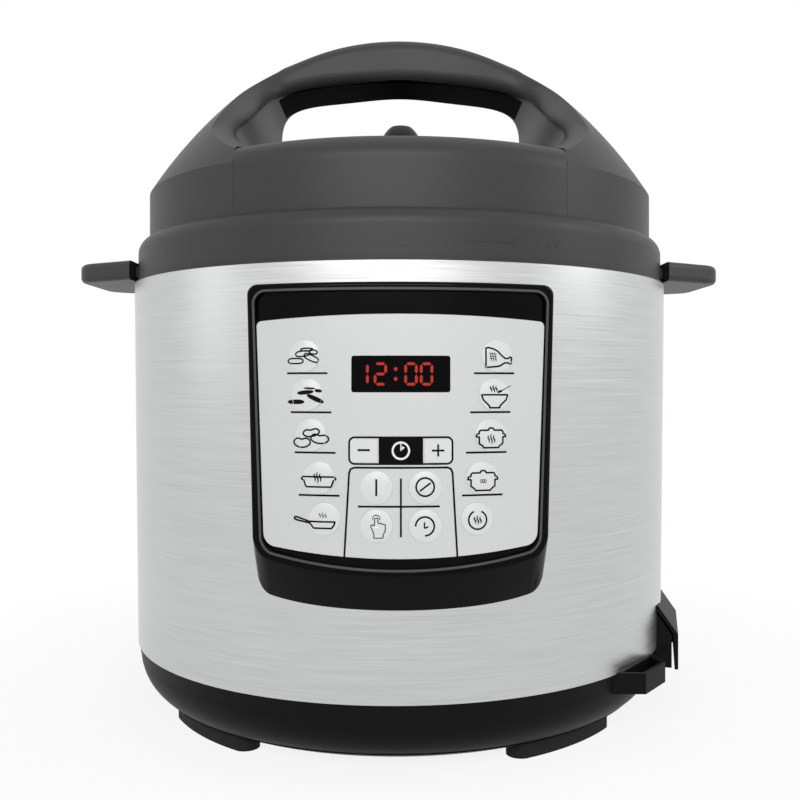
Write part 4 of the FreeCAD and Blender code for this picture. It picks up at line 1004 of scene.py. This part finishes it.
@dataclass
class Lid:
    """The lid cover, its arch and the valves."""

    lid_r: float = 123.1

    def dress(self) -> None:
        """Dress the CAD nodes of the lid."""
        dress(LID_PLASTIC, "lid_cover", "lid_handle", "steam_valve_knob")
        # The grip's near black is partly its own colour and partly painted shade under the arch.
        dress(GRIP_BLACK_AND_PAINTED_SHADE, "handle_grip")
        dress(ZINC_PLATE, "lid_screws")
        dress(POT_STEEL, "inner_lid", "seal_rack", "vent_shield")
        dress(SEAL_SILICONE, "sealing_ring", "float_valve_cap")
        dress(FLOAT_STEEL, "float_valve_pin", "steam_pipe", "steam_pipe_nut")

    def place(self, run: np.ndarray, z: np.ndarray, out: float) -> np.ndarray:
        """Points on the cover's front wall: the arc length over the radius is the angle."""
        turn, r = run / self.lid_r, self.lid_r + out
        return np.stack([r * np.sin(turn), -r * np.cos(turn), z + 0 * run], 1) * MM

    def build(self) -> None:
        """Mould the small mark at the front of the cover that shows when the lid is closed."""
        points, faces = lay_strokes([line((-2.9, 239.6), (-0.5, 238.7), (1.9, 239.6))], self.place, -0.1, 0.1)
        make_piece("lid_mark", points, faces, MARK_PLASTIC, "lid")


@dataclass
class Works:
    """What is inside: the pots, the heater and the electrics."""

    coil_r: float = 8.0
    wire_r: float = 0.8
    turns: int = 4
    steps: int = 36
    sides: int = 12
    press: float = 3.1

    def dress(self) -> None:
        """Dress the CAD nodes of the inside."""
        dress(POT_STEEL, "inner_pot")
        dress(PRESSED_ALUMINIUM, "outer_pot")
        dress(CAST_ALUMINIUM, "heating_plate")
        dress(ZINC_PLATE, "heating_element", "sensor_spring")
        dress(FLOAT_STEEL, "temperature_sensor")
        dress(SWITCH_WHITE, "pressure_switch", "thermal_fuse")
        dress(BOARD_GREEN, "power_board")
        dress(LEAD_RED, "inlet_leads")

    def build(self) -> None:
        """Wind the sensor's spring at the fixed length of its CAD node, though the real one shortens as the sensor
        is pressed: a circle carried along a helix.

        The helix climbs evenly with its angle, and the circle lies across it, from the radius to the upright.
        """
        low, high = (np.array(corner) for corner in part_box("sensor_spring"))
        wire, tall = self.wire_r * MM, float(high[2] - low[2])
        turn = np.linspace(0, 2 * np.pi * self.turns, self.steps * self.turns + 1)[:, None]
        rim = np.linspace(0, 2 * np.pi, self.sides, endpoint=False)[None, :]
        r = self.coil_r * MM + wire * np.cos(rim)
        rise = low[2] + wire + (tall - 2 * wire) * turn / turn[-1]
        points = np.stack([r * np.cos(turn), r * np.sin(turn), rise + wire * np.sin(rim)], 2).reshape(-1, 3)
        k, side = np.arange(len(turn) - 1)[:, None] * self.sides, np.arange(self.sides)[None, :]
        after = (side + 1) % self.sides
        quads = np.stack([k + side, k + self.sides + side, k + self.sides + after, k + after], 2).reshape(-1, 4)
        ends = [side[0], (len(turn) - 1) * self.sides + side[0][::-1]]
        spring = make_piece("coil_spring", points, [*quads, *ends], ZINC_PLATE, "base", smooth=True)
        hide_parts("sensor_spring")
        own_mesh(spring)


@dataclass
class Lamp:
    """A soft rectangular lamp that looks at a point, in metres and watts."""

    name: str
    at: tuple[float, float, float]
    aim: tuple[float, float, float]
    size: tuple[float, float]
    power: float

    def build(self) -> None:
        """Hang the lamp."""
        light = bpy.data.lights.new(self.name, "AREA")
        light.shape = "RECTANGLE"
        light.size, light.size_y = self.size
        light.energy = self.power
        lamp = bpy.data.objects.new(self.name, light)
        lamp.location = self.at
        way = np.array(self.aim) - np.array(self.at)
        way = way / np.linalg.norm(way)
        lamp.rotation_euler = (math.acos(-way[2]), 0.0, math.atan2(-way[0], way[1]))
        bpy.context.scene.collection.objects.link(lamp)


@dataclass
class Studio:
    """The pale floor, the soft light and the camera."""

    focal_px: float = 945.7
    centre_px: tuple[float, float] = (420.86, 381.89)
    camera_at: tuple[float, float, float] = (0.0, -0.4826, 0.1524)
    camera_turn: float = -1.21
    world_light: float = 0.12
    floor_half: float = 4.0
    shadow_reach: tuple[float, float] = (0.11, 0.32)
    shadow_glow: float = 0.86

    def build(self) -> None:
        """Set up the stage."""
        scene = bpy.context.scene
        scene.view_settings.view_transform = "Standard"
        self._camera(scene)
        self._world(scene)
        self._floor(scene)
        lamps = (
            Lamp("top_softbox", (0.0, -0.1, 1.3), (0.0, 0.0, 0.2), (1.0, 0.8), 1.5),
            Lamp("front_softbox", (-0.15, -1.45, 0.8), (0.0, 0.0, 0.2), (1.4, 0.5), 19.0),
            Lamp("right_strip", (1.25, -0.36, 0.75), (0.0, 0.0, 0.2), (0.4, 0.7), 5.0),
            Lamp("left_strip", (-1.3, -0.3, 0.6), (0.0, 0.0, 0.2), (0.5, 0.9), 1.0),
        )
        for lamp in lamps:
            lamp.build()

    def _camera(self, scene: bpy.types.Scene) -> None:
        """A camera at the photograph's place, with its focal length and centre."""
        data = bpy.data.cameras.new("camera")
        data.sensor_width = SENSOR
        data.lens = self.focal_px / IMAGE_SIZE * SENSOR
        data.shift_x = (IMAGE_SIZE / 2 - self.centre_px[0]) / IMAGE_SIZE
        data.shift_y = (self.centre_px[1] - IMAGE_SIZE / 2) / IMAGE_SIZE
        data.clip_start = 0.02
        camera = bpy.data.objects.new("camera", data)
        camera.location = self.camera_at
        camera.rotation_euler = (math.pi / 2, 0.0, math.radians(self.camera_turn))
        scene.collection.objects.link(camera)
        scene.camera = camera

    def _seen(self, tree: bpy.types.NodeTree) -> bpy.types.NodeSocket:
        """One for camera, glossy and transmission rays, and zero for the rest."""
        path = add_node(tree, "ShaderNodeLightPath")
        first = add_node(
            tree, "ShaderNodeMath", {"operation": "MAXIMUM"},
            {0: path.outputs["Is Camera Ray"], 1: path.outputs["Is Glossy Ray"]},
        )
        both = add_node(
            tree, "ShaderNodeMath", {"operation": "MAXIMUM"},
            {0: first.outputs[0], 1: path.outputs["Is Transmission Ray"]},
        )
        return both.outputs[0]

    def _world(self, scene: bpy.types.Scene) -> None:
        """A white surround to the eye and a softer one to the light."""
        world = bpy.data.worlds.new("studio")
        world.use_nodes = True
        tree = world.node_tree
        tree.nodes.clear()
        strength = add_node(
            tree, "ShaderNodeMapRange", {"To Min": self.world_light, "To Max": 1.0}, {"Value": self._seen(tree)}
        )
        white = add_node(
            tree, "ShaderNodeBackground", {"Color": linear("#FFFFFF")}, {"Strength": strength.outputs["Result"]}
        )
        add_node(tree, "ShaderNodeOutputWorld", {}, {"Surface": white.outputs["Background"]})
        scene.world = world

    def _floor(self, scene: bpy.types.Scene) -> None:
        """A pale floor: white further out, with a share of matt paint that keeps the shadow near the feet."""
        u, v = np.meshgrid(np.linspace(-1, 1, 3), np.linspace(-1, 1, 3))
        points = np.stack([u.ravel(), v.ravel(), 0 * u.ravel()], 1) * self.floor_half
        k = np.array([[0, 1, 4, 3], [1, 2, 5, 4], [3, 4, 7, 6], [4, 5, 8, 7]])
        mesh = bpy.data.meshes.new("floor")
        mesh.from_pydata(points.tolist(), [], k.tolist())
        paint = bpy.data.materials.new("white_matt_floor")
        paint.use_nodes = True
        tree = paint.node_tree
        tree.nodes.clear()
        matt = add_node(tree, "ShaderNodeBsdfDiffuse", {"Color": linear("#F4F4F4")})
        glow = add_node(tree, "ShaderNodeEmission", {"Color": linear("#FFFFFF"), "Strength": 1.0})
        place = add_node(tree, "ShaderNodeTexCoord")
        away = add_node(tree, "ShaderNodeVectorMath", {"operation": "LENGTH"}, {0: place.outputs["Object"]})
        near, far = self.shadow_reach
        share = add_node(
            tree, "ShaderNodeMapRange",
            {"From Min": near, "From Max": far, "To Min": self.shadow_glow, "To Max": 1.0},
            {"Value": away.outputs["Value"]},
        )
        seen = add_node(
            tree, "ShaderNodeMath", {"operation": "MULTIPLY"}, {0: share.outputs["Result"], 1: self._seen(tree)}
        )
        mixed = add_node(
            tree, "ShaderNodeMixShader", {},
            {0: seen.outputs[0], 1: matt.outputs["BSDF"], 2: glow.outputs["Emission"]},
        )
        add_node(tree, "ShaderNodeOutputMaterial", {}, {"Surface": mixed.outputs["Shader"]})
        mesh.materials.append(paint)
        floor = bpy.data.objects.new("floor", mesh)
        scene.collection.objects.link(floor)


def main() -> None:
    """Build the stage, then dress and build each sub-assembly."""
    logging.basicConfig(level=logging.INFO, format="%(name)s: %(message)s")
    Studio().build()
    body, lid, works, control = CookerBody(), Lid(), Works(), ControlFace()
    for part in (body, lid, works, control):
        part.dress()
    body.build()
    lid.build()
    works.build()
    control.build()


if __name__ == "__main__":
    main()
